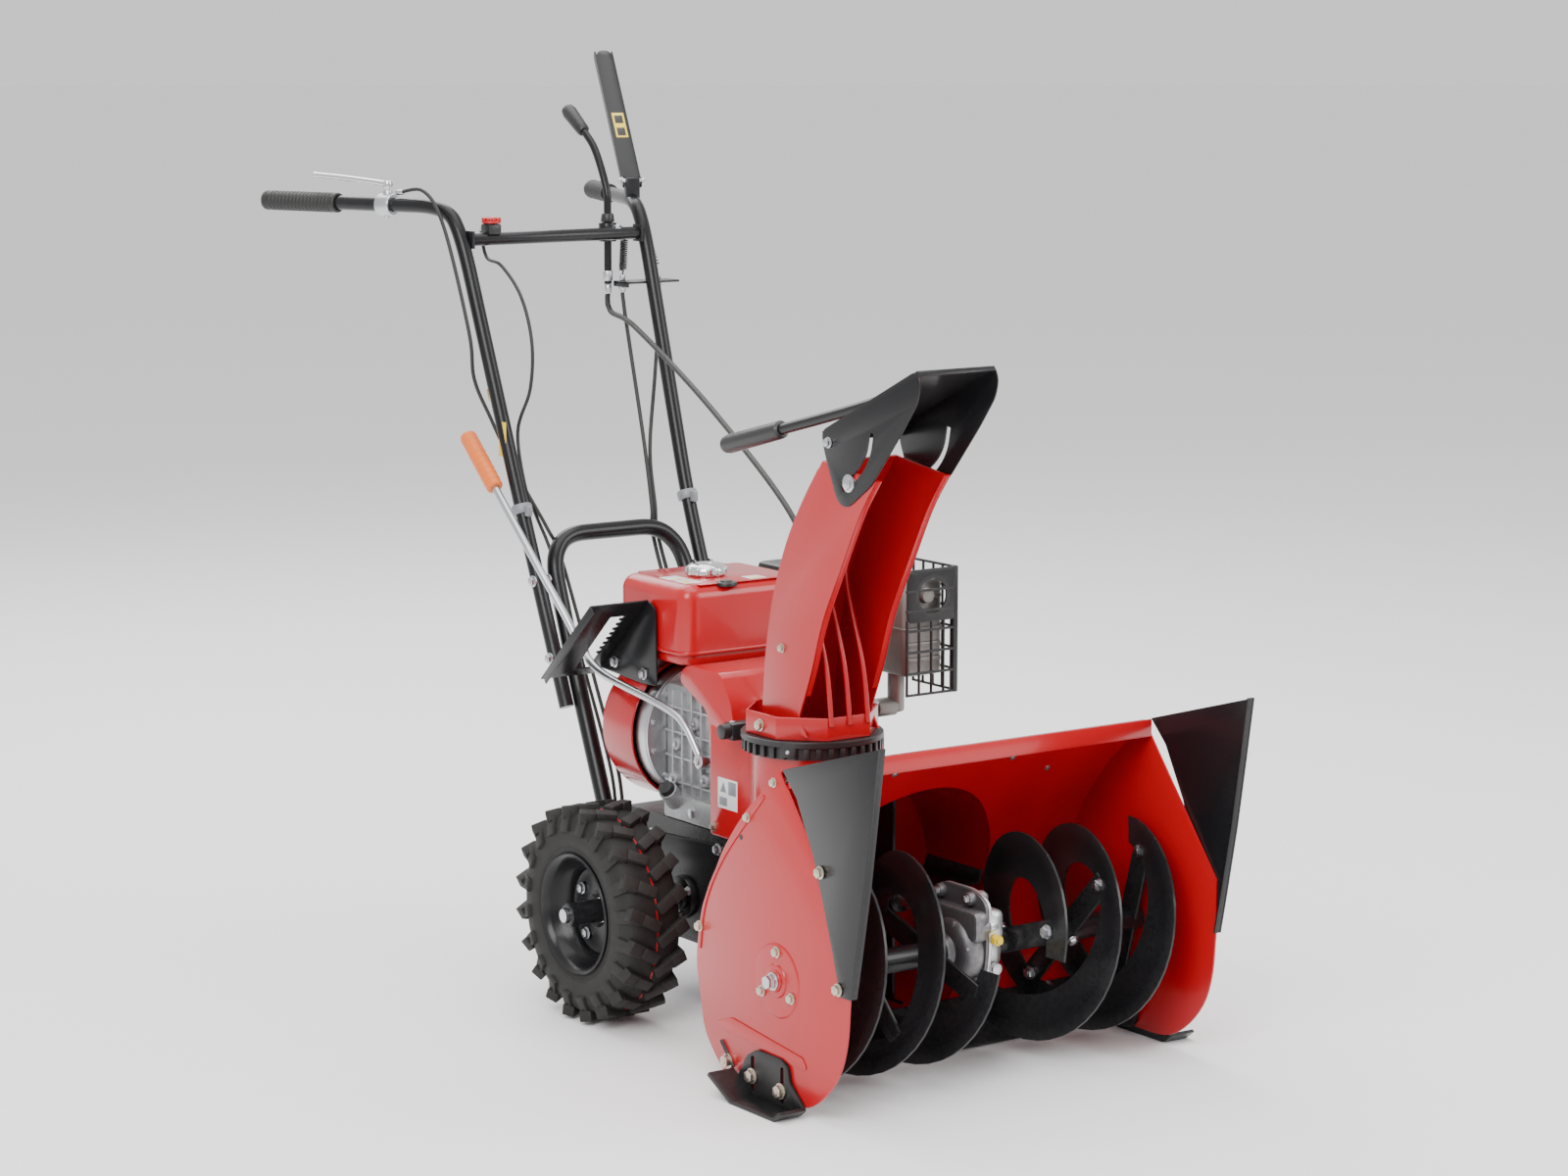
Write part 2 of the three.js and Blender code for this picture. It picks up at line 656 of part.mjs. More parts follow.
function cylinderHead() {
  const fins = [];
  for (let i = 0; i < 6; i += 1) fins.push(box(78 + i * 13, 82 + i * 13, 352, 474, 315, 435));
  return join(box(70 + GAP, 160, 366, 460, 329, 421), ...fins, box(159, 196, 362, 464, 325, 425));
}

function fanHousing() {
  const drum = turned(
    'y', CRANK_X, CRANK_Z,
    [
      [0, 620], [56, 620], [64, 610], [94, 604], [106, 586], [106, 516.3], [103, 516.3], [103, 584],
      [92, 601], [62, 607], [54, 617], [0, 617],
    ],
    24,
  );
  return fixWinding(indexed(drum));
}

function recoilHandle() {
  return join(
    rod('y', CRANK_X + 60, CRANK_Z + 62, 609, 642, 6, 10),
    box(CRANK_X + 36, CRANK_X + 84, 634, 648, CRANK_Z + 54, CRANK_Z + 70),
  );
}

function fuelTank() {
  const lower = alongZ(
    [
      [-92, 428], [92, 428], [106, 442], [106, 582], [92, 596], [-92, 596], [-106, 582], [-106, 442],
    ], 484.5, 502);
  const flange = alongZ(
    [
      [-97, 420], [97, 420], [112, 435], [112, 588], [97, 603], [-97, 603], [-112, 588], [-112, 435],
    ], 500, 506);
  const upper = tankTop();
  return join(lower, flange, upper);
}

// Upper half of the tank: stacked outlines drawn in towards the top.
function tankTop() {
  const layers = [[0, 506], [3, 556], [11, 584], [30, 600]];
  const edge = [
    [-95, 422], [95, 422], [110, 437], [110, 586], [95, 601], [-95, 601], [-110, 586], [-110, 437],
  ];
  const centre = [0, 512];
  const positions = [];
  layers.forEach(([inset, z]) => {
    edge.forEach(([x, y]) => {
      const k = 1 - inset / 95;
      positions.push(centre[0] + (x - centre[0]) * k, centre[1] + (y - centre[1]) * k, z);
    });
  });
  const n = edge.length;
  const faces = [];
  for (let i = 0; i < layers.length - 1; i += 1) {
    for (let j = 0; j < n; j += 1) {
      const a = i * n + j;
      const b = i * n + ((j + 1) % n);
      faces.push(a, b, a + n, b, b + n, a + n);
    }
  }
  const last = (layers.length - 1) * n;
  for (let j = 1; j < n - 1; j += 1) {
    faces.push(0, j + 1, j);
    faces.push(last, last + j, last + j + 1);
  }
  const geometry = new THREE.BufferGeometry();
  geometry.setAttribute('position', new THREE.Float32BufferAttribute(positions, 3));
  geometry.setIndex(faces);
  return fixWinding(geometry);
}

function fuelCap() {
  const edge = [];
  for (let i = 0; i < 24; i += 1) {
    const t = (2 * Math.PI * i) / 24;
    const r = i % 2 ? 28.5 : 31;
    edge.push([CAP_X + r * Math.cos(t), CAP_Y + r * Math.sin(t)]);
  }
  return join(alongZ(edge, 602, 613), rod('z', CAP_X, CAP_Y, 600 + GAP, 619, 25, 20));
}

function airCleaner() {
  return join(
    alongZ(
      [[122, 472], [198, 472], [206, 480], [206, 574], [198, 582], [122, 582], [116, 574], [116, 480]],
      522, 600,
    ),
    rod('z', 161, 528, 598, 608, 12, 12),
  );
}

function carburettor() {
  return join(
    box(112, 160, 488, 530, 440, 492), rod('z', 138, 510, 490, 521.6, 20, 16),
    rod('y', 138, 418, 474.4, 510, 15, 14), rod('z', 136, 510, 400, 442, 19, 16),
  );
}

function muffler() {
  return join(
    alongZ(
      [[206, 316], [264, 316], [270, 322], [270, 394], [264, 400], [206, 400], [200, 394], [200, 322]],
      452, 596,
    ),
    rod('x', 384, 400, 196.4, 232, 14, 12),
    box(222, 246, 370, 396, 388, 456),
  );
}

function mufflerGuard() {
  const bars = [];
  [430, 490, 548, 612].forEach((z) => {
    bars.push(box(188, 282, 296, 300, z - 2, z + 2), box(278, 282, 296, 404, z - 2, z + 2));
  });
  [190, 234, 278].forEach((x) => bars.push(box(x - 2, x + 2, 296, 300, 428, 614)));
  [350, 402].forEach((y) => bars.push(box(278, 282, y - 2, y + 2, 428, 614)));
  const disc = cut(box(196, 274, 296, 299, 540, 606), rod('y', 235, 573, 290, 305, 26, 20));
  const corner = box(276, 282, 296, 302, 428, 614);
  return join(...bars, disc, corner);
}

const COVER_EDGE = [
  [226, CHASSIS_TOP + GAP], [226, 406], [262, 411], [273, 416], [280, 455], [306, 496], [392, 496],
  [408, 484], [408, 466], [342, 436], [334, 425], [334, CHASSIS_TOP + GAP],
];

function beltCover() {
  const body = alongX(COVER_EDGE, -128, 100);
  const room = alongX(
    [
      [229, 250], [229, 403.5], [262, 408.5], [270.5, 414], [282, 454], [308, 493], [391, 493],
      [405, 482], [405, 460], [380, 440], [350, 250],
    ],
    -125.5, 97.5,
  );
  return cut(body, room);
}

// ---------- handles and controls ----------
const LOWER_LEG = [[-126, 540, 130], [-126, 592, 215], [-118, 706, 452], [-114, 768, 598], [-82, 784, 632]];

function lowerHandle() {
  const path = [...LOWER_LEG, ...flip([...LOWER_LEG].reverse())];
  return pipe(path, TUBE_R, 46, 10, 2);
}

const UPPER_LEG = [
  [-144, 684, 392], [-147, 800, 672], [-162, 938, 1064], [-166, 966, 1112], [-296, 1300, 1112],
];

// The left leg carries the lug and pin of the clutch lever and the cable bracket,
// the right leg the clamp of the hand lever.
function upperHandle(side) {
  const leg = pipe(side > 0 ? flip(UPPER_LEG) : UPPER_LEG, LEG_R, 50, 10, 2);
  return side > 0 ? join(leg, leverLug(), box(116, 212, 916, 958, 987, 991)) : join(leg, handLeverClamp());
}

// Direction of the right-hand grip in plan, and a point a given way along it.
const GRIP_DIR = new THREE.Vector3(-130, 334, 0).normalize();
const gripPoint = (side, back, dz = 0) => {
  const p = new THREE.Vector3(-296, 1300, 1112 + dz).addScaledVector(GRIP_DIR, -back);
  return [side < 0 ? p.x : -p.x, p.y, p.z];
};

const GRIP_HEADING = Math.atan2(130, 334);
const LEVER_RISE = (41 * Math.PI) / 180;
const LEVER_HEIGHT = 28; // pivot above the tube's centre line
const LEVER_LENGTH = 300;
const leverPivot = () => gripPoint(1, 320, LEVER_HEIGHT);

function grip(side) {
  const body = sweep([gripPoint(side, 140), gripPoint(side, -5)], circle(GRIP_R, 16));
  const bore = sweep([gripPoint(side, 150), gripPoint(side, -GAP)], circle(LEG_R + 1, 12));
  return cut(body, bore);
}

// Crossbar with the bushing of the chute crank and the base of the stop switch.
function crossbar() {
  const bracket = box(101, 123, 936, 966, 1054, 1076);
  const bushing = rod('z', 112, 966, 1050, 1080, 14, 16);
  const bar = rod('x', 938, 1064, -150.2, 150.2, 10, 14);
  const switchBase = box(-124, -100, 926, 952, 1070, 1087);
  return cut(join(bar, bracket, bushing, switchBase), rod('z', 112, 966, 1040, 1090, 6 + GAP, 12));
}

// Pressed channel over the left grip, shown at its released angle.
function clutchLever() {
  const cheeks = [-1, 1].map((side) => {
    const [x0, x1] = span(side, 12.5, 15);
    return join(
      box(x0, x1, 2, LEVER_LENGTH, -10, 1), box(x0, x1, -8, 8, -8, 2), rod('x', 0, 0, x0, x1, 10, 12),
    );
  });
  const top = box(-15, 15, 10, LEVER_LENGTH, 0, 2.5);
  const lever = cut(join(top, ...cheeks), rod('x', 0, 0, -20, 20, 4 + GAP, 10));
  return lever.rotateX(LEVER_RISE).rotateZ(-GRIP_HEADING).translate(...leverPivot());
}

function leverLug() {
  const lug = join(box(-11.5, 11.5, -8, 8, -LEVER_HEIGHT, 5), rod('x', 0, 0, -18, 18, 4, 10));
  return lug.rotateZ(-GRIP_HEADING).translate(...leverPivot());
}

// Bent rod with its moulded grip, which turn together in the bushing.
function chuteCrank() {
  const bent = pipe([[112, 966, 985], [112, 966, 1128], [112, 1006, 1196], [112, 1050, 1229]], 6, 16, 8, 2);
  return join(bent, sweep([[112, 1036.5, 1220.1], [112, 1082, 1251]], circle(12, 12)));
}

const CABLE_R = 3;
const CHASSIS_REAR = 596;

// Bowden cables run down inside the handle legs and enter the rear of the chassis.
const cableEnd = (x) => [[x, 640, 300], [x, 622, 225], [x, CHASSIS_REAR + 2, 207]];
const AUGER_CABLE = [
  [
    125, 945, 986,
  ], [122, 936, 950], [100, 850, 760], [90, 812, 660], [88, 800, 600], [84, 700, 420], ...cableEnd(84),
];
const DRIVE_CABLE = [
  [190, 945, 986], [188, 938, 950], [154, 899, 850], [112, 850, 740], [98, 815, 660], [97, 800, 600],
  [94, 700, 420], ...cableEnd(94),
];
const SWITCH_CABLE = [
  [
    -112, 953, 1081,
  ], [-112, 968, 1076], [-114, 950, 1036], [-118, 900, 1026], [-124, 835, 985], [-126, 802, 920],
  [
    -127, 806, 850,
  ], [
    -130, 838, 783,
  ], [-131, 815, 700], [-108, 822, 655], [-98, 790, 590], [-96, 700, 420], ...cableEnd(-96),
];
const CHUTE_CABLE = [
  [112, 966, 984], [112, 961, 945], [95, 860, 925], [40, 569, 827], [-30, 267, 708], [-42, 222, 620],
  [-46, 224, 520], [-52, 240, 450], [-62, 249, 428], [-77.2, 249, 426],
];
const HAND_CABLE = [
  gripPoint(-1, 256, 19), [-190, 1002, 1134], [-186, 950, 1080], [-180, 892, 930], [-172, 892, 860],
  [-152, 878, 800], [-128, 846, 720], [-100, 806, 640], [-84, 790, 590], [-84, 700, 420], ...cableEnd(-84),
];

function cable(points, radius = CABLE_R) {
  return pipe(points, radius, 50, 8, 1);
}

// ---------- gear selector and small controls ----------
const GEAR_PIVOT = [368, 360];
const GEAR_ROD = [
  [-117, ...GEAR_PIVOT], [-122, 403, 406], [-128, 449, 427], [-145, 579, 456], [-152, 626, 486],
  [-161, 656, 531], [-178, 738, 628.5], [-180.5, 844, 725.5],
];

function gearGate() {
  const side = alongX([[510, 572], [489, 562], [485, 449], [639, 456]], -116, -113.2);
  const face = alongX(strip([[646, 447.6], [510, 572]], 2.6), -212, -113.2);
  const rimEdge = [[508, 570], [639, 451], [632, 440], [500, 560]];
  const lip = alongX(rimEdge, -212, -209.4);
  const studs = [530, 596].map((y) => rod('x', y, 462, -114, -106, 5, 8));
  const slot = alongX([[544, 566], [528, 548], [626, 458], [642, 476]], -172, -136);
  return cut(join(side, face, lip, ...studs), slot);
}

function gearLever() {
  return join(pipe(GEAR_ROD, 6, 40, 8, 2), rod('x', ...GEAR_PIVOT, -124, -106 - GAP, 11, 14));
}

function gearGrip() {
  return cut(
    sweep([[-179.9, 820, 703.5], [-181, 900, 776.7]], circle(13, 12)),
    sweep([[-179.7, 808, 692.5], [-180.5, 845.5, 726.8]], circle(6.8, 10)),
  );
}

// Clamp and post of the hand lever on the right leg.
function handLeverClamp() {
  const ring = sweep([gripPoint(-1, 250), gripPoint(-1, 222)], circle(17, 12));
  const post = sweep([gripPoint(-1, 236, 4), gripPoint(-1, 235, 21)], [[-7, -9], [7, -9], [7, 9], [-7, 9]]);
  return join(ring, post);
}

function handLever() {
  return pipe([gripPoint(-1, 244, 30), gripPoint(-1, 214, 33), gripPoint(-1, 92, 41)], 5.5, 20, 8, 2);
}

function controls() {
  add('gear_gate', gearGate(), BLACK);
  add('gear_lever', gearLever(), STEEL);
  add('gear_lever_grip', gearGrip(), ORANGE);
  add('hand_lever', handLever(), STEEL);
  add('stop_switch_knob', rod('z', -112, 938, 1087 + GAP, 1097, 15, 16), RED);
  add('auger_clutch_cable', cable(AUGER_CABLE), RUBBER);
  add('drive_clutch_cable', cable(DRIVE_CABLE), RUBBER);
  add('switch_cable', cable(SWITCH_CABLE), RUBBER);
  add('hand_lever_cable', cable(HAND_CABLE), RUBBER);
  add('chute_cable', cable(CHUTE_CABLE, 5), RUBBER);
  add('chute_crank', chuteCrank(), STEEL);
  add('clutch_lever', clutchLever(), BLACK);
}

// ---------- build ----------
add('auger_housing', augerHousing(), RED);
addPair('side_panel', sidePanel, RED);
addPair('drift_wing', driftWing, BLACK);
add('scraper_bar', scraperBar(), BLACK);
addPair('skid_shoe', skidShoe, BLACK);
addPair('auger_bearing', bearingFlange, STEEL);
add('auger_shaft', augerShaft(), STEEL);
addPair('auger_flight', augerFlight, BLACK);
addPair('gearbox_cover', gearboxHalf, CAST);
add('impeller_shaft', impellerShaft(), STEEL);
add('impeller', impeller(), BLACK);
add('impeller_pulley', pulley(0, IMPELLER_Z, BIG_PULLEY_R, PULLEY_Y, PULLEY_W, SHAFT_R + GAP), STEEL);
add('engine_crankshaft', crankshaft(), STEEL);
add('auger_belt', augerBelt(), RUBBER);
add('chassis_frame', chassis(), BLACK);
add('wheel_axle', wheelAxle(), STEEL);
addPair('wheel_rim', rim, BLACK);
addPair('tyre', tyre, RUBBER);
add('belt_cover', beltCover(), RED);
add('engine_crankcase', crankcase(), CAST);
add('cylinder_head', cylinderHead(), CAST);
add('fan_housing', fanHousing(), RED);
add('recoil_handle', recoilHandle(), PLASTIC);
add('fuel_tank', fuelTank(), RED);
add('fuel_cap', fuelCap(), STEEL);
add('air_cleaner', airCleaner(), PLASTIC);
add('carburettor', carburettor(), CAST);
add('muffler', muffler(), STEEL);
add('muffler_guard', mufflerGuard(), BLACK);
add('lower_handle', lowerHandle(), BLACK);
addPair('upper_handle', upperHandle, BLACK);
add('handle_crossbar', crossbar(), BLACK);
addPair('hand_grip', grip, RUBBER);
add('chute_ring', chuteRing(), PLASTIC);
add('chute_worm_housing', wormHousing(), PLASTIC);
add('discharge_chute', dischargeChute(), RED);
add('chute_deflector', deflector(), BLACK);
add('deflector_handle', deflectorHandle(), BLACK);
controls();

export default group;
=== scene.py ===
import logging
import math
from dataclasses import dataclass
from enum import Enum

import bmesh
import bpy
from mathutils import Matrix, Quaternion, Vector


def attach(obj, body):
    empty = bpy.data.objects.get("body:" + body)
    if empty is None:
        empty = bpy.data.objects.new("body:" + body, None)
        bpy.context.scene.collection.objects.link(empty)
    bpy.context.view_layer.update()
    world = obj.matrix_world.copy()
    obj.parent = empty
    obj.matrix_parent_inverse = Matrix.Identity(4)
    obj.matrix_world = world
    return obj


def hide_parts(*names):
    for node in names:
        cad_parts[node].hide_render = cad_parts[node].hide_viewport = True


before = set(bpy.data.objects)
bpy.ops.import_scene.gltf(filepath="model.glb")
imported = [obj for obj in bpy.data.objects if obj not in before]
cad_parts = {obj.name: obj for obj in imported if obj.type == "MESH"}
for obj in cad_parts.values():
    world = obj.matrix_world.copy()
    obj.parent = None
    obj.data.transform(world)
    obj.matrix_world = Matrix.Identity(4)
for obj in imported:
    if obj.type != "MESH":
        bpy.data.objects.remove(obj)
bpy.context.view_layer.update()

MM = 0.001
DATUM_Y = -500.6  # millimetres from the auger datum to the machine's centre
LOG = logging.getLogger("snow_blower")
Point = tuple[float, float, float]
Pair = tuple[float, float]


class Hand(Enum):
    """The operator's right and left, as signs along X."""

    RIGHT = -1
    LEFT = 1

    @property
    def word(self) -> str:
        """The word that ends a CAD node's name."""
        return self.name.lower()


# ---------------------------------------------------------------- finishes


class EffectGroups:
    """Shader node groups that several finishes share, each built once."""

    def __init__(self) -> None:
        """Builds the groups."""
        self.mottle = self._mottle()
        self.edges = self._edges()
        self.dust = self._dust()

    @staticmethod
    def _start(name: str, inputs: list[tuple[str, str, object]],
               outputs: list[tuple[str, str]]) -> tuple:
        """Makes an empty group with its sockets.

        Args:
            name: the group's name.
            inputs: socket name, socket type and starting value of each input.
            outputs: socket name and type of each output.

        Returns:
            The node tree, its input node and its output node.
        """
        tree = bpy.data.node_groups.new(name, "ShaderNodeTree")
        for label, kind, value in inputs:
            socket = tree.interface.new_socket(label, in_out="INPUT", socket_type=kind)
            socket.default_value = value
        for label, kind in outputs:
            tree.interface.new_socket(label, in_out="OUTPUT", socket_type=kind)
        return tree, tree.nodes.new("NodeGroupInput"), tree.nodes.new("NodeGroupOutput")

    def _mottle(self) -> bpy.types.NodeTree:
        """Two-tone drift of colour and roughness with a fine grain in height.

        Returns:
            The group's node tree.
        """
        tree, enter, leave = self._start(
            "mottle",
            [
                ("Base", "NodeSocketColor", (0.5, 0.5, 0.5, 1)),
                ("Tone", "NodeSocketColor", (0.4, 0.4, 0.4, 1)),
                ("Patch Scale", "NodeSocketFloat", 12.0),
                ("Grain Scale", "NodeSocketFloat", 900.0),
                ("Smoothest", "NodeSocketFloat", 0.2),
                ("Roughest", "NodeSocketFloat", 0.4),
            ],
            [
                ("Color", "NodeSocketColor"),
                ("Roughness", "NodeSocketFloat"),
                ("Height", "NodeSocketFloat"),
            ],
        )
        link = tree.links.new
        place = tree.nodes.new("ShaderNodeTexCoord")
        patch = tree.nodes.new("ShaderNodeTexNoise")
        patch.inputs["Detail"].default_value = 4.0
        grain = tree.nodes.new("ShaderNodeTexNoise")
        grain.inputs["Detail"].default_value = 2.0
        mix = tree.nodes.new("ShaderNodeMix")
        mix.data_type = "RGBA"
        spread = tree.nodes.new("ShaderNodeMapRange")
        link(place.outputs["Object"], patch.inputs["Vector"])
        link(place.outputs["Object"], grain.inputs["Vector"])
        link(enter.outputs["Patch Scale"], patch.inputs["Scale"])
        link(enter.outputs["Grain Scale"], grain.inputs["Scale"])
        link(patch.outputs["Fac"], mix.inputs["Factor"])
        link(enter.outputs["Base"], mix.inputs[6])
        link(enter.outputs["Tone"], mix.inputs[7])
        link(patch.outputs["Fac"], spread.inputs["Value"])
        link(enter.outputs["Smoothest"], spread.inputs["To Min"])
        link(enter.outputs["Roughest"], spread.inputs["To Max"])
        link(mix.outputs[2], leave.inputs["Color"])
        link(spread.outputs["Result"], leave.inputs["Roughness"])
        link(grain.outputs["Fac"], leave.inputs["Height"])
        return tree

    def _edges(self) -> bpy.types.NodeTree:
        """Lightens a colour along sharp corners, broken up by noise.

        Returns:
            The group's node tree.
        """
        tree, enter, leave = self._start(
            "edge_wear",
            [
                ("Color", "NodeSocketColor", (0.5, 0.5, 0.5, 1)),
                ("Worn", "NodeSocketColor", (0.7, 0.7, 0.7, 1)),
                ("Start", "NodeSocketFloat", 0.53),
                ("Full", "NodeSocketFloat", 0.6),
            ],
            [("Color", "NodeSocketColor"), ("Mask", "NodeSocketFloat")],
        )
        link = tree.links.new
        shape = tree.nodes.new("ShaderNodeNewGeometry")
        band = tree.nodes.new("ShaderNodeMapRange")
        place = tree.nodes.new("ShaderNodeTexCoord")
        chips = tree.nodes.new("ShaderNodeTexNoise")
        chips.inputs["Scale"].default_value = 140.0
        break_up = tree.nodes.new("ShaderNodeMath")
        break_up.operation = "MULTIPLY"
        mix = tree.nodes.new("ShaderNodeMix")
        mix.data_type = "RGBA"
        link(shape.outputs["Pointiness"], band.inputs["Value"])
        link(enter.outputs["Start"], band.inputs["From Min"])
        link(enter.outputs["Full"], band.inputs["From Max"])
        link(place.outputs["Object"], chips.inputs["Vector"])
        link(band.outputs["Result"], break_up.inputs[0])
        link(chips.outputs["Fac"], break_up.inputs[1])
        link(break_up.outputs["Value"], mix.inputs["Factor"])
        link(enter.outputs["Color"], mix.inputs[6])
        link(enter.outputs["Worn"], mix.inputs[7])
        link(mix.outputs[2], leave.inputs["Color"])
        link(break_up.outputs["Value"], leave.inputs["Mask"])
        return tree

    def _dust(self) -> bpy.types.NodeTree:
        """Pale dust that settles in patches on faces that look up.

        Returns:
            The group's node tree.
        """
        tree, enter, leave = self._start(
            "settled_dust",
            [
                ("Color", "NodeSocketColor", (0.1, 0.1, 0.1, 1)),
                ("Dust", "NodeSocketColor", (0.35, 0.33, 0.3, 1)),
                ("Amount", "NodeSocketFloat", 0.2),
            ],
            [("Color", "NodeSocketColor")],
        )
        link = tree.links.new
        place = tree.nodes.new("ShaderNodeTexCoord")
        cloud = tree.nodes.new("ShaderNodeTexNoise")
        cloud.inputs["Scale"].default_value = 35.0
        cloud.inputs["Detail"].default_value = 6.0
        shape = tree.nodes.new("ShaderNodeNewGeometry")
        split = tree.nodes.new("ShaderNodeSeparateXYZ")
        rise = tree.nodes.new("ShaderNodeMapRange")
        rise.inputs["From Min"].default_value = -0.6
        first = tree.nodes.new("ShaderNodeMath")
        first.operation = "MULTIPLY"
        second = tree.nodes.new("ShaderNodeMath")
        second.operation = "MULTIPLY"
        mix = tree.nodes.new("ShaderNodeMix")
        mix.data_type = "RGBA"
        link(place.outputs["Object"], cloud.inputs["Vector"])
        link(shape.outputs["Normal"], split.inputs["Vector"])
        link(split.outputs["Z"], rise.inputs["Value"])
        link(rise.outputs["Result"], first.inputs[0])
        link(cloud.outputs["Fac"], first.inputs[1])
        link(first.outputs["Value"], second.inputs[0])
        link(enter.outputs["Amount"], second.inputs[1])
        link(second.outputs["Value"], mix.inputs["Factor"])
        link(enter.outputs["Color"], mix.inputs[6])
        link(enter.outputs["Dust"], mix.inputs[7])
        link(mix.outputs[2], leave.inputs["Color"])
        return tree


@dataclass(frozen=True)
class Finish:
    """One surface finish: its two tones, gloss, grain and wear."""

    name: str
    base: tuple[float, float, float]
    tone: tuple[float, float, float]
    metallic: float = 0.0
    smoothest: float = 0.2
    roughest: float = 0.35
    coat: float = 0.0
    grain: float = 900.0
    grain_height: float = 0.00002
    patch: float = 12.0
    worn: tuple[float, float, float] | None = None
    dust: float = 0.0
    specular: float = 0.5

    def build(self, effects: EffectGroups) -> bpy.types.Material:
        """Makes the material.

        Args:
            effects: the shared node groups.

        Returns:
            The finished material.
        """
        material = bpy.data.materials.new(self.name)
        material.use_nodes = True
        tree = material.node_tree
        shader = next(n for n in tree.nodes if n.type == "BSDF_PRINCIPLED")
        shader.inputs["Metallic"].default_value = self.metallic
        shader.inputs["Coat Weight"].default_value = self.coat
        shader.inputs["Coat Roughness"].default_value = 0.04
        shader.inputs["Specular IOR Level"].default_value = self.specular
        mottle = self._group(tree, effects.mottle)
        mottle.inputs["Base"].default_value = (*self.base, 1)
        mottle.inputs["Tone"].default_value = (*self.tone, 1)
        mottle.inputs["Patch Scale"].default_value = self.patch
        mottle.inputs["Grain Scale"].default_value = self.grain
        mottle.inputs["Smoothest"].default_value = self.smoothest
        mottle.inputs["Roughest"].default_value = self.roughest
        color = mottle.outputs["Color"]
        if self.worn:
            wear = self._group(tree, effects.edges)
            wear.inputs["Worn"].default_value = (*self.worn, 1)
            tree.links.new(color, wear.inputs["Color"])
            color = wear.outputs["Color"]
        if self.dust:
            dust = self._group(tree, effects.dust)
            dust.inputs["Amount"].default_value = self.dust
            tree.links.new(color, dust.inputs["Color"])
            color = dust.outputs["Color"]
        bump = tree.nodes.new("ShaderNodeBump")
        bump.inputs["Distance"].default_value = self.grain_height
        tree.links.new(mottle.outputs["Height"], bump.inputs["Height"])
        tree.links.new(bump.outputs["Normal"], shader.inputs["Normal"])
        tree.links.new(mottle.outputs["Roughness"], shader.inputs["Roughness"])
        tree.links.new(color, shader.inputs["Base Color"])
        return material

    @staticmethod
    def _group(tree: bpy.types.NodeTree, group: bpy.types.NodeTree) -> bpy.types.Node:
        """Places a shared group in a material.

        Args:
            tree: the material's node tree.
            group: the shared group.

        Returns:
            The group node.
        """
        node = tree.nodes.new("ShaderNodeGroup")
        node.node_tree = group
        return node


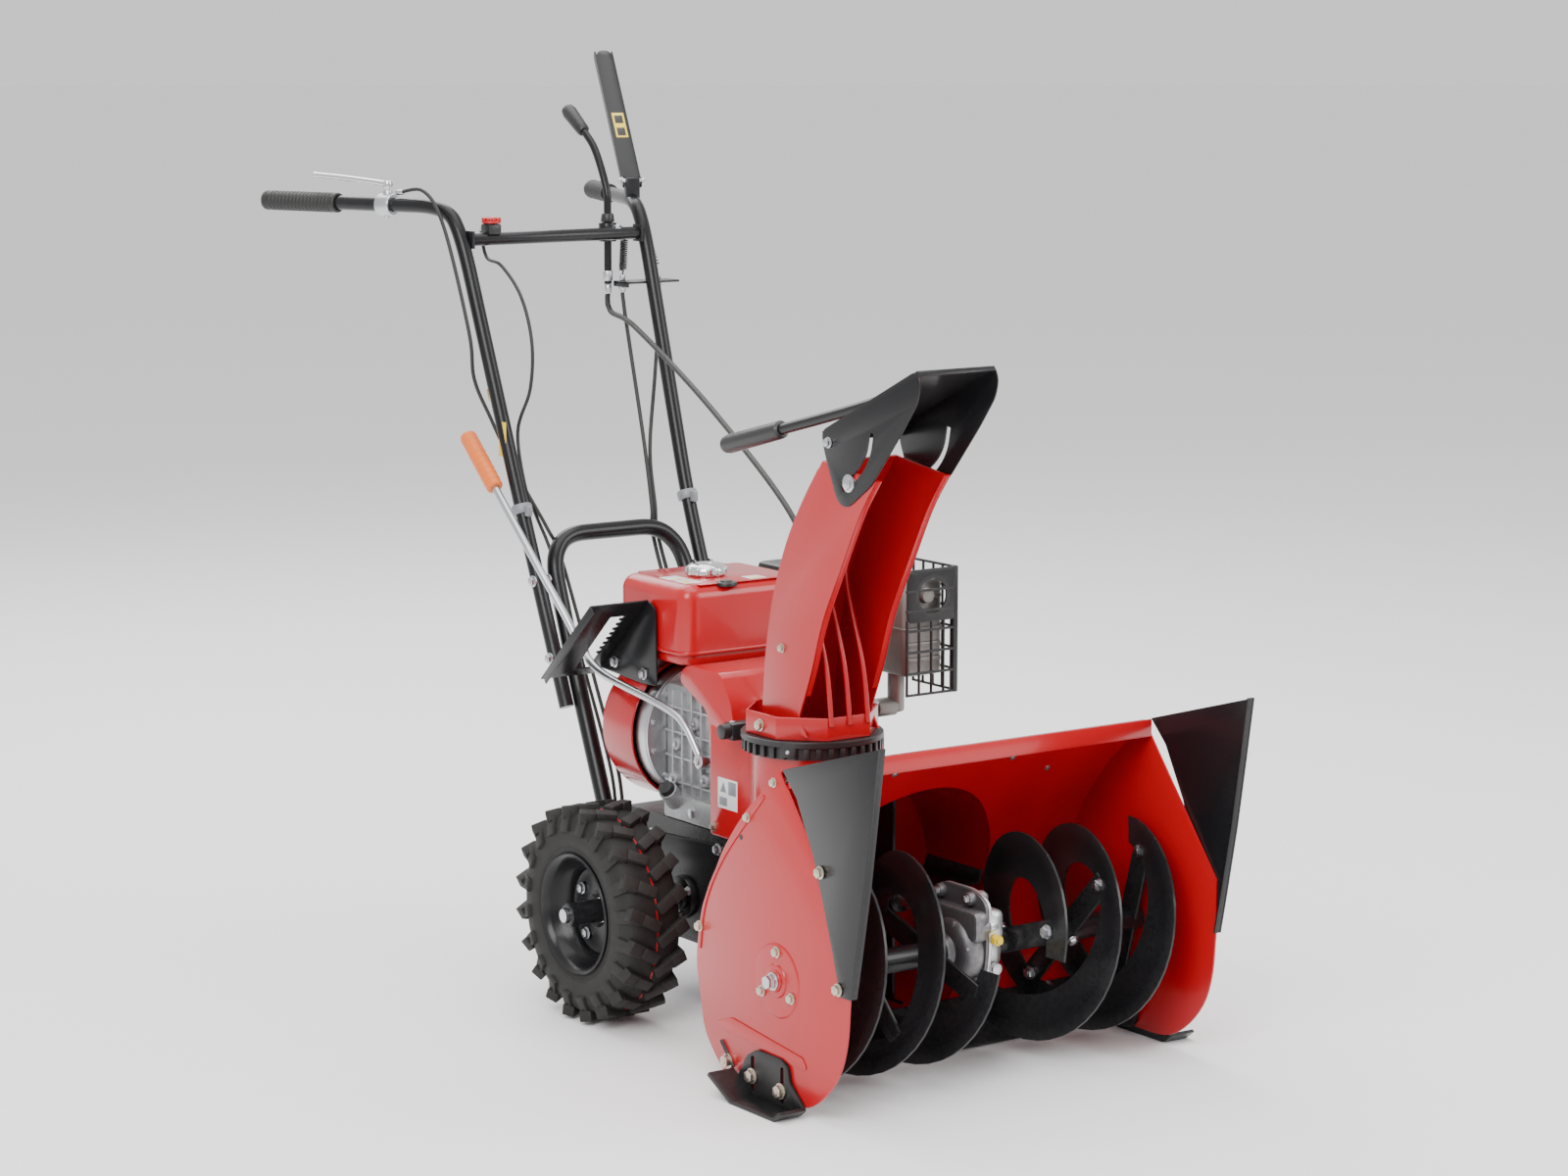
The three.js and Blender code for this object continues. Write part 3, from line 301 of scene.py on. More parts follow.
class Look(Enum):
    """The finishes of the machine."""

    RED = Finish("housing_red_powder", (0.47, 0.003, 0.008), (0.40, 0.003, 0.007), 0.0, 0.2, 0.3,
                 coat=0.2, grain=260.0, grain_height=0.00006, patch=7.0)
    RED_PLASTIC = Finish("red_moulding", (0.47, 0.004, 0.009), (0.40, 0.004, 0.008), 0.0, 0.25, 0.35)
    BLACK = Finish("black_gloss_powder", (0.006, 0.006, 0.007), (0.009, 0.009, 0.010), 0.0, 0.2, 0.3,
                   grain=300.0, grain_height=0.00006, worn=(0.03, 0.03, 0.032),
                   specular=0.32)
    SATIN = Finish("black_satin_powder", (0.006, 0.006, 0.007), (0.010, 0.010, 0.011), 0.0, 0.25, 0.36,
                   grain=500.0, grain_height=0.00008, worn=(0.04, 0.04, 0.04),
                    specular=0.35)
    ZINC = Finish("zinc_plate", (0.62, 0.63, 0.65), (0.5, 0.51, 0.53), 1.0, 0.22, 0.4,
                  grain=1400.0, grain_height=0.00003)
    GOLD_ZINC = Finish("passivated_zinc", (0.66, 0.60, 0.46), (0.5, 0.46, 0.42), 1.0, 0.25, 0.42,
                       grain=1400.0, grain_height=0.00003, patch=60.0)
    CAST = Finish("sand_cast_alloy", (0.42, 0.43, 0.44), (0.30, 0.31, 0.32), 0.85, 0.42, 0.62,
                  grain=420.0, grain_height=0.0004, patch=30.0, worn=(0.75, 0.75, 0.76), dust=0.1)
    BRIGHT_CAST = Finish("machined_alloy", (0.78, 0.78, 0.78), (0.66, 0.66, 0.67), 0.9, 0.3, 0.45,
                         grain=500.0, grain_height=0.0002, patch=30.0, worn=(0.9, 0.9, 0.9))
    DARK_CAST = Finish("dark_cast_alloy", (0.16, 0.15, 0.16), (0.10, 0.095, 0.10), 0.7, 0.35, 0.5,
                       grain=420.0, grain_height=0.0003, patch=30.0, worn=(0.5, 0.5, 0.5))
    CHROME = Finish("bright_plate", (0.8, 0.8, 0.81), (0.72, 0.72, 0.73), 1.0, 0.05, 0.12,
                    grain_height=0.00001)
    RUBBER = Finish("black_rubber", (0.007, 0.007, 0.007), (0.012, 0.012, 0.012), 0.0, 0.45, 0.6,
                    grain=1200.0, grain_height=0.0001, dust=0.08)
    TYRE = Finish("tyre_rubber", (0.008, 0.0078, 0.0075), (0.016, 0.015, 0.014), 0.0, 0.5, 0.75,
                  grain=700.0, grain_height=0.0003, patch=40.0, worn=(0.03, 0.028, 0.026), dust=0.02,
                  specular=0.3)
    PLASTIC = Finish("black_moulding", (0.008, 0.008, 0.009), (0.013, 0.013, 0.014), 0.0, 0.32, 0.45,
                     grain=800.0, grain_height=0.00012, dust=0.04)
    ORANGE = Finish("orange_moulding", (0.83, 0.18, 0.02), (0.7, 0.14, 0.015), 0.0, 0.35, 0.5,
                    grain=900.0)
    YELLOW = Finish("yellow_film", (0.85, 0.60, 0.02), (0.78, 0.54, 0.02), 0.0, 0.3, 0.4)
    WHITE = Finish("white_film", (0.78, 0.78, 0.78), (0.7, 0.7, 0.7), 0.0, 0.3, 0.4)
    GREY = Finish("grey_film", (0.24, 0.25, 0.27), (0.2, 0.21, 0.23), 0.0, 0.3, 0.4)
    BRASS = Finish("brass", (0.72, 0.52, 0.24), (0.6, 0.42, 0.2), 1.0, 0.2, 0.35)
    STAINED = Finish("heat_stained_steel", (0.30, 0.28, 0.26), (0.2, 0.19, 0.18), 0.9, 0.4, 0.6,
                     grain=700.0, grain_height=0.0001, patch=25.0)


class Paintbox:
    """Hands out each finish's material, built once."""

    def __init__(self) -> None:
        """Builds every finish."""
        effects = EffectGroups()
        self._made = {look: look.value.build(effects) for look in Look}

    def __getitem__(self, look: Look) -> bpy.types.Material:
        """The material of a finish."""
        return self._made[look]

    def coat_node(self, node: str, look: Look) -> None:
        """Gives a carried-over CAD node a finish.

        Args:
            node: the CAD node's name.
            look: its finish.
        """
        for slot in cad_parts[node].material_slots:
            slot.material = self[look]
        LOG.info("coated %s with %s", node, look.name.lower())


# ---------------------------------------------------------------- shaping


def fair_line(points: list[Point], step: float) -> list[Vector]:
    """Draws one smooth curve through points.

    Args:
        points: the points to pass, in millimetres.
        step: the spacing of the result.

    Returns:
        Evenly spread points on the curve.
    """
    knots = [Vector(p) for p in points]
    ends = [knots[0] * 2 - knots[1], *knots, knots[-1] * 2 - knots[-2]]
    line = [knots[0]]
    for i in range(1, len(ends) - 2):
        before, here, there, after = ends[i - 1:i + 3]
        count = max(1, round((there - here).length / step))
        for k in range(1, count + 1):
            t = k / count
            blend = (here * 2 + (there - before) * t
                     + (before * 2 - here * 5 + there * 4 - after) * t**2
                     + (here * 3 - before - there * 3 + after) * t**3) * 0.5
            line.append(blend)
    return line


def fair_edge(points: list[Pair], step: float) -> list[Pair]:
    """Draws one smooth flat curve through points.

    Args:
        points: the points to pass.
        step: the spacing of the result.

    Returns:
        Points on the curve.
    """
    return [(p.x, p.y) for p in fair_line([(a, b, 0.0) for a, b in points], step)]


def rounded(points: list[Pair], radius: float, steps: int = 4) -> list[Pair]:
    """Rounds the corners of a closed outline.

    Args:
        points: the outline's corners.
        radius: how far back from a corner the round starts.
        steps: the number of points in each round.

    Returns:
        The outline with rounds.
    """
    result = []
    for i, corner in enumerate(points):
        here = Vector(corner)
        sides = [Vector(points[i - 1]) - here, Vector(points[(i + 1) % len(points)]) - here]
        start, end = (here + s.normalized() * min(radius, s.length * 0.45) for s in sides)
        for k in range(steps + 1):
            t = k / steps
            p = start * (1 - t) ** 2 + here * (2 * t * (1 - t)) + end * t**2
            result.append((p.x, p.y))
    return result


def ring_points(a: float, b: float, radius: float, count: int, phase: float = 0.0) -> list[Pair]:
    """Points spread round a circle.

    Args:
        a: the centre's first coordinate.
        b: the centre's second coordinate.
        radius: the circle's radius.
        count: how many points.
        phase: the angle of the first, in radians.

    Returns:
        The points.
    """
    angles = [phase + math.tau * k / count for k in range(count)]
    return [(a + radius * math.cos(t), b + radius * math.sin(t)) for t in angles]


def stripe(line: list[Pair], width: float) -> list[Pair]:
    """Widens an open line into a closed outline.

    Args:
        line: the line's points.
        width: the outline's width, laid to the line's left.

    Returns:
        The outline.
    """
    far = []
    for i, (a, b) in enumerate(line):
        before = Vector(line[max(i - 1, 0)])
        after = Vector(line[min(i + 1, len(line) - 1)])
        along = (after - before).normalized()
        far.append((a - along.y * width, b + along.x * width))
    return [*line, *reversed(far)]


class Shape:
    """A mesh under construction, in millimetres from the auger datum.

    Attributes:
        paints: the finishes, handed over once before the first piece.
    """

    AXES = {"x": Vector((1, 0, 0)), "y": Vector((0, 1, 0)), "z": Vector((0, 0, 1))}
    paints: Paintbox

    def __init__(self) -> None:
        """Starts empty, with the first finish in hand."""
        self.mesh = bmesh.new()
        self.slot = 0

    def use(self, slot: int) -> "Shape":
        """Makes what follows take another finish.

        Args:
            slot: the finish's place in the piece's list.

        Returns:
            The shape itself.
        """
        self.slot = slot
        return self

    def _claim(self) -> "Shape":
        """Gives faces made since the last call the finish in hand."""
        layers = self.mesh.faces.layers.int
        dressed = layers.get("dressed") or layers.new("dressed")
        for face in self.mesh.faces:
            if not face[dressed]:
                face.material_index = self.slot
                face[dressed] = 1
        return self

    def merge(self, other: "Shape") -> "Shape":
        """Takes in another shape's geometry with its finishes.

        Args:
            other: the shape to take in, used up here.

        Returns:
            The shape itself.
        """
        data = bpy.data.meshes.new("part")
        other.mesh.to_mesh(data)
        self.mesh.from_mesh(data)
        bpy.data.meshes.remove(data)
        other.mesh.free()
        return self

    def _soften(self, verts: list, size: float, steps: int = 2, only_ends: bool = False) -> None:
        """Bevels the edges of new geometry.

        Args:
            verts: the new geometry's vertices.
            size: the bevel's width.
            steps: its segments.
            only_ends: bevel only the rims of many-sided faces.
        """
        if size <= 0:
            return
        edges = {e for v in verts for e in v.link_edges}
        if only_ends:
            edges = {e for e in edges if any(len(f.verts) > 4 for f in e.link_faces)}
        bmesh.ops.bevel(self.mesh, geom=list(edges), offset=size, segments=steps, profile=0.5,
                        affect="EDGES", material=-1, clamp_overlap=True)

    def _aim(self, verts: list, origin: Vector, direction: Vector, roll: float = 0.0) -> None:
        """Turns geometry built up +Z from zero to stand at a place.

        Args:
            verts: the vertices to move.
            origin: where zero goes.
            direction: where +Z goes.
            roll: a turn about +Z made first, in radians.
        """
        turn = direction.to_track_quat("Z", "Y") @ Quaternion((0, 0, 1), roll)
        bmesh.ops.rotate(self.mesh, cent=(0, 0, 0), matrix=turn.to_matrix(), verts=verts)
        bmesh.ops.translate(self.mesh, vec=origin, verts=verts)

    def box(self, low: Point, high: Point, bevel: float = 1.0, turn: Matrix | None = None) -> "Shape":
        """Adds a block.

        Args:
            low: its lowest corner.
            high: its highest corner.
            bevel: the round on its edges.
            turn: a matrix applied last.

        Returns:
            The shape itself.
        """
        made = bmesh.ops.create_cube(self.mesh, size=1.0)["verts"]
        bmesh.ops.scale(self.mesh, vec=Vector(high) - Vector(low), verts=made)
        bmesh.ops.translate(self.mesh, vec=(Vector(high) + Vector(low)) / 2, verts=made)
        if turn:
            bmesh.ops.transform(self.mesh, matrix=turn, verts=made)
        self._soften(made, bevel)
        return self._claim()

    def rod(self, start: Point, end: Point, radius: float, far: float | None = None,
            sides: int = 28, bevel: float = 0.8, roll: float = 0.0) -> "Shape":
        """Adds a round or many-sided bar or cone.

        Args:
            start: the centre of its first end.
            end: the centre of its other end.
            radius: the radius at the start.
            far: the radius at the end, where it differs.
            sides: its number of sides.
            bevel: the round on its rims.
            roll: a turn about its own line, in radians.

        Returns:
            The shape itself.
        """
        line = Vector(end) - Vector(start)
        made = bmesh.ops.create_cone(
            self.mesh, cap_ends=True, cap_tris=False, segments=sides, radius1=radius,
            radius2=radius if far is None else far, depth=line.length)["verts"]
        bmesh.ops.translate(self.mesh, vec=(0, 0, line.length / 2), verts=made)
        self._aim(made, Vector(start), line, roll)
        self._soften(made, bevel, 2, only_ends=True)
        return self._claim()

    def plate(self, axis: str, outline: list[Pair], low: float, high: float,
              bevel: float = 0.6) -> "Shape":
        """Adds a flat outline drawn out along an axis.

        Args:
            axis: "x", "y" or "z".
            outline: its corners in the two other coordinates.
            low: where it starts along the axis.
            high: where it ends.
            bevel: the round on its edges.

        Returns:
            The shape itself.
        """
        spots = {"x": lambda a, b: (low, a, b), "y": lambda a, b: (a, low, b),
                 "z": lambda a, b: (a, b, low)}[axis]
        verts = [self.mesh.verts.new(spots(a, b)) for a, b in outline]
        face = self.mesh.faces.new(verts)
        grown = bmesh.ops.extrude_face_region(self.mesh, geom=[face], use_keep_orig=True)["geom"]
        tops = [g for g in grown if isinstance(g, bmesh.types.BMVert)]
        bmesh.ops.translate(self.mesh, vec=self.AXES[axis] * (high - low), verts=tops)
        faces = list({f for v in [*verts, *tops] for f in v.link_faces})
        bmesh.ops.recalc_face_normals(self.mesh, faces=faces)
        self._soften([*verts, *tops], bevel, 2, only_ends=len(outline) > 4)
        return self._claim()

    def lathe(self, start: Point, direction: Point, profile: list[Pair], sides: int = 48) -> "Shape":
        """Adds a turned form.

        Args:
            start: where distances along the axis are counted from.
            direction: the axis.
            profile: distance along the axis and radius, a closed loop or from axis to axis.
            sides: the number of steps round.

        Returns:
            The shape itself.
        """
        verts = [self.mesh.verts.new((r, 0, d)) for d, r in profile]
        edges = [self.mesh.edges.new(pair) for pair in zip(verts, verts[1:])]
        if profile[0][1] > 0 or profile[-1][1] > 0:
            edges.append(self.mesh.edges.new((verts[-1], verts[0])))
        before = set(self.mesh.faces)
        bmesh.ops.spin(self.mesh, geom=[*verts, *edges], cent=(0, 0, 0), axis=(0, 0, 1),
                       angle=math.tau, steps=sides, use_merge=True)
        faces = [f for f in self.mesh.faces if f not in before]
        made = list({v for f in faces for v in f.verts})
        bmesh.ops.remove_doubles(self.mesh, verts=made, dist=1e-4)
        faces = [f for f in self.mesh.faces if f not in before]
        made = list({v for f in faces for v in f.verts})
        bmesh.ops.recalc_face_normals(self.mesh, faces=faces)
        self._aim(made, Vector(start), Vector(direction))
        return self._claim()

    def tube(self, points: list[Point], radius: float, sides: int = 16, step: float = 12.0,
             fair: bool = True) -> "Shape":
        """Adds a round bar swept along a path.

        Args:
            points: the path.
            radius: the bar's radius.
            sides: its number of sides.
            step: the spacing of its rings.
            fair: draw a smooth curve through the points.

        Returns:
            The shape itself.
        """
        path = fair_line(points, step) if fair else [Vector(p) for p in points]
        last = len(path) - 1
        heads = [(path[min(i + 1, last)] - path[max(i - 1, 0)]).normalized() for i in range(last + 1)]
        ring = bmesh.ops.create_circle(self.mesh, cap_ends=True, segments=sides, radius=radius)["verts"]
        self._aim(ring, path[0], heads[0])
        edges = list({e for v in ring for e in v.link_edges})
        start_face = ring[0].link_faces[0]
        made = list(ring)
        for i in range(1, last + 1):
            grown = bmesh.ops.extrude_edge_only(self.mesh, edges=edges)["geom"]
            ring = [g for g in grown if isinstance(g, bmesh.types.BMVert)]
            kept = set(ring)
            edges = [g for g in grown if isinstance(g, bmesh.types.BMEdge)
                     and g.verts[0] in kept and g.verts[1] in kept]
            bend = heads[i - 1].rotation_difference(heads[i]).to_matrix()
            bmesh.ops.rotate(self.mesh, cent=path[i - 1], matrix=bend, verts=ring)
            bmesh.ops.translate(self.mesh, vec=path[i] - path[i - 1], verts=ring)
            made += ring
        bmesh.ops.contextual_create(self.mesh, geom=edges)
        faces = list({f for v in made for f in v.link_faces} | {start_face})
        bmesh.ops.recalc_face_normals(self.mesh, faces=faces)
        return self._claim()

    def bolt(self, at: Point, toward: Point, size: float = 8.0, washer: bool = True) -> "Shape":
        """Adds a flanged hexagon head.

        Args:
            at: the point on the surface under the head.
            toward: the direction the head stands up in.
            size: the thread's diameter.
            washer: whether there is a washer under it.

        Returns:
            The shape itself.
        """
        base, up = Vector(at), Vector(toward).normalized()
        flat = 0.25 * size if washer else 0.0
        if washer:
            self.rod(base, base + up * flat, size * 1.08, sides=20, bevel=0.3)
        head = base + up * flat
        self.rod(head, head + up * size * 0.62, size * 0.86, sides=6, bevel=0.5)
        self.rod(head, head + up * size * 0.72, size * 0.42, sides=12, bevel=0.3)
        return self

    def cut(self, tool: "Shape") -> "Shape":
        """Takes another shape's volume away from this one.

        Args:
            tool: the volume to remove, used up here.

        Returns:
            The shape itself.
        """
        pair = []
        for name, shape in (("stock", self), ("tool", tool)):
            data = bpy.data.meshes.new(name)
            shape.mesh.to_mesh(data)
            thing = bpy.data.objects.new(name, data)
            bpy.context.scene.collection.objects.link(thing)
            for _ in range(max(self.slot, tool.slot, 5) + 1):
                data.materials.append(None)
            pair.append(thing)
        change = pair[0].modifiers.new("cut", "BOOLEAN")
        change.operation = "DIFFERENCE"
        change.solver = "EXACT"
        change.object = pair[1]
        graph = bpy.context.evaluated_depsgraph_get()
        result = bpy.data.meshes.new_from_object(pair[0].evaluated_get(graph))
        self.mesh.clear()
        self.mesh.from_mesh(result)
        for thing in pair:
            data = thing.data
            bpy.data.objects.remove(thing)
            bpy.data.meshes.remove(data)
        bpy.data.meshes.remove(result)
        tool.mesh.free()
        return self

    def finish(self, name: str, body: str, looks: list[Look], slot: str,
               stands_for: tuple[str, ...] = (), crease: float = 32.0) -> bpy.types.Object:
        """Turns the shape into a placed piece of the machine.

        Args:
            name: the piece's name.
            body: the CAD body that it rides on.
            looks: its finishes, by slot.
            slot: not used.
            stands_for: CAD nodes that it is shown in place of.
            crease: the angle in degrees past which an edge is sharp.

        Returns:
            The piece.
        """
        place = Matrix.Translation((0, DATUM_Y * MM, 0)) @ Matrix.Scale(MM, 4)
        bmesh.ops.transform(self.mesh, matrix=place, verts=self.mesh.verts)
        data = bpy.data.meshes.new(name)
        self.mesh.to_mesh(data)
        self.mesh.free()
        if "dressed" in data.attributes:
            data.attributes.remove(data.attributes["dressed"])
        data.polygons.foreach_set("use_smooth", [True] * len(data.polygons))
        data.set_sharp_from_angle(angle=math.radians(crease))
        for look in looks:
            data.materials.append(self.paints[look])
        piece = bpy.data.objects.new(name, data)
        bpy.context.scene.collection.objects.link(piece)
        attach(piece, body)
        if stands_for:
            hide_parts(*stands_for)
        LOG.info("built %s (%d faces)", name, len(data.polygons))
        return piece


# ---------------------------------------------------------------- auger end


@dataclass
class AugerHousing:
    """Housing of the auger: rear wall, impeller drum, side panels, wings, scraper and skids."""

    half: float = 306.0
    wall_half: float = 302.7
    drum_radius: float = 166.0
    drum_height: float = 207.0
    drum_back: float = 220.0
    outlet: tuple[float, float] = (-92.0, 136.0)
    wall_line: tuple = (
        (-106, 446), (-94, 446), (-60, 416), (-14, 374), (32, 318), (60, 267),
        (78, 235), (87, 199), (90, 161), (84, 120), (70, 82), (42, 52), (30, 40),
    )
    panel_rear: tuple = (
        (-61, 418), (-14, 378), (36, 320), (66, 268), (85, 236), (95, 199), (100, 161), (96, 130),
        (89, 100), (78, 62), (37, 21), (1, 13), (-70, 11), (-143, 12), (-187, 33), (-223, 72),
        (-240, 117), (-246, 173),
    )
    bearing: tuple[float, float] = (-88.0, 169.0)

    def build(self) -> None:
        """Builds the whole housing."""
        self._wall()
        for hand in Hand:
            self._panel(hand)
            self._wing(hand)
            self._skid(hand)
            self._bearing(hand)
        self._scraper()

    def _wall(self) -> None:
        """Builds the pressed rear wall with the drum welded behind it."""
        half, r, z = self.wall_half, self.drum_radius, self.drum_height
        line = [*self.wall_line[:2], *fair_edge(list(self.wall_line[2:]), 14)]
        wall = Shape().plate("x", stripe(line[::-1], 3.0), -half, half, 0.0)
        wall.cut(Shape().rod((0, -60, z), (0, 200, z), r, sides=96, bevel=0))
        clear = [*[(y - 1.5, h) for y, h in line], (28, -40), (-260, -40), (-260, 446)]
        drum = Shape().rod((0, 0, z), (0, self.drum_back, z), r + 3, sides=96, bevel=1.5)
        bore = Shape().rod((0, -5, z), (0, self.drum_back - 3, z), r, sides=96, bevel=0)
        drum.cut(bore)
        x, y = self.outlet
        drum.cut(Shape().rod((x, y, z + 40), (x, y, 500), 79, sides=64, bevel=0))
        drum.cut(Shape().plate("x", clear, -half, half, 0.0))
        drum.cut(Shape().rod((0, 200, z), (0, 260, z), 22, sides=40, bevel=0))
        stub = Shape().rod((x, y, z + 60), (x, y, 413.6), 82, sides=64, bevel=0)
        stub.cut(Shape().rod((x, y, z), (x, y, 430), 79, sides=64, bevel=0))
        stub.cut(Shape().rod((0, -20, z), (0, 300, z), r + 2, sides=96, bevel=0))
        stub.cut(Shape().plate("x", clear, -half, half, 0.0))
        shell = Shape()
        for part in (wall, drum, stub):
            shell.merge(part)
        shell.box((-half, -109.5, 426), (half, -106.4, 449), 0.8)
        shell.box((-half, -106.6, 443.5), (half, -92, 446.2), 0.8)
        shell.box((-half, -107.5, 424), (half, -98, 427), 1.0)
        shell.use(1)
        for side in (-1, 1):
            for px, py, pz in ((189, -21, 383), (287, -76, 430), (99, -58, 414)):
                shell.bolt((side * px, py - 1, pz), (0, -0.75, -0.66), 6)
        for px in (-240, -120, 0, 120, 240):
            shell.bolt((px, 34, 52), (0, -0.85, 0.5), 8)
        shell.finish("auger_housing_shell", "machine_frame", [Look.RED, Look.ZINC],
                     "housing_red", ("auger_housing",), 25)

    def _panel(self, hand: Hand) -> None:
        """Builds one side panel with its pressed stripe, bearing dish and bolts.

        Args:
            hand: which side.
        """
        s, face = hand.value, 306.0
        inner, outer = sorted((s * (face - 3), s * face))
        rear = fair_edge(list(self.panel_rear), 12)
        outline = [(-93, 444), *rear, (-246, 250)]
        panel = Shape().plate("x", outline, inner, outer, 0.7)
        y, z = self.bearing
        out = Vector((s, 0, 0))
        panel.rod((s * (face - 0.2), y, z), (s * (face + 1.6), y, z), 50, 47, 56, 0.6)
        stripe_edge = rounded([(53, 84), (17, 97), (-146, 79), (-155, 66), (-146, 62), (40, 76)], 5)
        low, high = sorted((s * (face - 0.3), s * (face + 1.4)))
        panel.plate("x", stripe_edge, low, high, 0.5)
        low, high = sorted((s * (face - 0.1), s * (face + 0.9)))
        panel.plate("x", stripe(fair_edge([(-60, 405), (30, 312), (76, 240), (90, 175)], 12), 5),
                    low, high, 0.4)
        for py, pz, size in ((25, 36, 10), (-80, 428, 6), (-20, 372, 6), (92, 205, 7)):
            panel.use(1).bolt((s * face, py, pz), out, size)
        for py, pz in ((-188, 331), (-227, 187)):
            panel.bolt((s * (face + 3.6), py, pz), out, 8)
        panel.use(2).rod((s * (face - 0.2), -5, 343), (s * (face + 0.35), -5, 343), 3.6, bevel=0)
        panel.rod((s * (face - 0.2), 41, 60), (s * (face + 0.3), 12, 31), 3.0, bevel=0)
        panel.finish(f"side_panel_{hand.word}_sheet", "machine_frame",
                     [Look.RED, Look.GOLD_ZINC, Look.SATIN], "housing_red",
                     (f"side_panel_{hand.word}",))

    def _wing(self, hand: Hand) -> None:
        """Builds one drift wing, a black plate with folded edges.

        Args:
            hand: which side.
        """
        s, face = hand.value, 306.3
        edge = [(-103, 449), (-309, 508), (-297, 429), (-281, 329), (-262, 231), (-251, 178),
                (-230, 178), (-212, 234), (-194, 286), (-171, 348), (-151, 385), (-134, 417)]
        low, high = sorted((s * face, s * (face + 2.7)))
        wing = Shape().plate("x", edge, low, high, 0.5)
        front = [(-309, 508), (-297, 429), (-281, 329), (-262, 231), (-251, 178)]
        fold_low, fold_high = sorted((s * (face - 9), s * (face + 2)))
        strip_edge = stripe([(y + 0.6, z) for y, z in front], 2.2)
        wing.plate("x", strip_edge, fold_low, fold_high, 0.4)
        wing.finish(f"drift_wing_{hand.word}_plate", "machine_frame", [Look.BLACK],
                    "black_paint", (f"drift_wing_{hand.word}",))

    def _skid(self, hand: Hand) -> None:
        """Builds one skid shoe with its two slots, bolts and turned-out runner.

        Args:
            hand: which side.
        """
        s, face = hand.value, 306.3
        plate_edge = rounded([(-24, 56), (-46, 68), (-102, 68), (-117, 60), (-121, 41), (-155, 12),
                              (-140, 0), (-40, 0), (2, 16)], 6)
        low, high = sorted((s * face, s * (face + 4.5)))
        plate = Shape().plate("x", plate_edge, low, high, 0.7)
        for y in (-38, -105):
            slot = rounded([(y - 4, 10), (y + 4, 10), (y + 4, 58), (y - 4, 58)], 4)
            cut_low, cut_high = sorted((s * (face - 2), s * (face + 8)))
            plate.cut(Shape().plate("x", slot, cut_low, cut_high, 0.0))
        runner = [(-155, 12), (-140, 0.3), (-40, 0.3), (12, 26), (9, 31), (-41, 5), (-138, 5), (-151, 15)]
        low, high = sorted((s * (face + 2), s * 349.6))
        plate.plate("x", runner, low, high, 1.2)
        plate.use(1)
        for y, z in ((-38, 31), (-103, 26)):
            plate.bolt((s * (face + 4.5), y, z), (s, 0, 0), 10)
        inside = s * (self.half - 3.2)
        plate.use(0).rod((inside, -70, 30), (inside - s * 8, -70, 30), 22, 20, 40, 1.5)
        plate.finish(f"skid_shoe_{hand.word}_plate", "machine_frame", [Look.SATIN, Look.GOLD_ZINC],
                     "black_paint", (f"skid_shoe_{hand.word}",))

    def _bearing(self, hand: Hand) -> None:
        """Builds one bearing flange with three bolts and the shaft's end bolt.

        Args:
            hand: which side.
        """
        s, face = hand.value, 307.8
        y, z = self.bearing
        out = (s, 0, 0)
        flange = Shape().use(1)
        for deg in (92, 206, 328):
            t = math.radians(deg)
            flange.bolt((s * face, y + 38 * math.cos(t), z + 38 * math.sin(t)), out, 7)
        flange.use(0).rod((s * (face - 0.5), y, z), (s * (face + 2), y, z), 23, 21, 48, 0.6)
        flange.rod((s * (face + 1.8), y, z), (s * (face + 4.5), y, z), 15, 14, 40, 0.5)
        flange.finish(f"auger_bearing_{hand.word}_flange", "machine_frame",
                      [Look.RED, Look.GOLD_ZINC], "zinc_plate",
                      (f"auger_bearing_{hand.word}",))
        end = Shape().rod((s * (face + 4.6), y, z), (s * (face + 7), y, z), 12, sides=32, bevel=0.4)
        end.rod((s * (face + 7), y, z), (s * (face + 13), y, z), 9.5, sides=6, bevel=0.8)
        end.rod((s * (face + 13), y, z), (s * (face + 16), y, z), 5, sides=20, bevel=0.5)
        end.finish(f"auger_end_bolt_{hand.word}", "auger", [Look.ZINC], "zinc_plate")

    def _scraper(self) -> None:
        """Builds the scraper bar with its carriage bolts."""
        edge = [(-16, 3), (-11, 3), (41, 57), (38, 60), (33, 60), (-17, 7)]
        bar = Shape().plate("x", edge, -302, 302, 0.6).use(1)
        for x in (-240, -120, 0, 120, 240):
            bar.bolt((x, 10, 35), (0, -0.72, 0.69), 8)
        bar.finish("scraper_bar_blade", "machine_frame", [Look.BLACK, Look.GOLD_ZINC],
                   "black_paint", ("scraper_bar",))


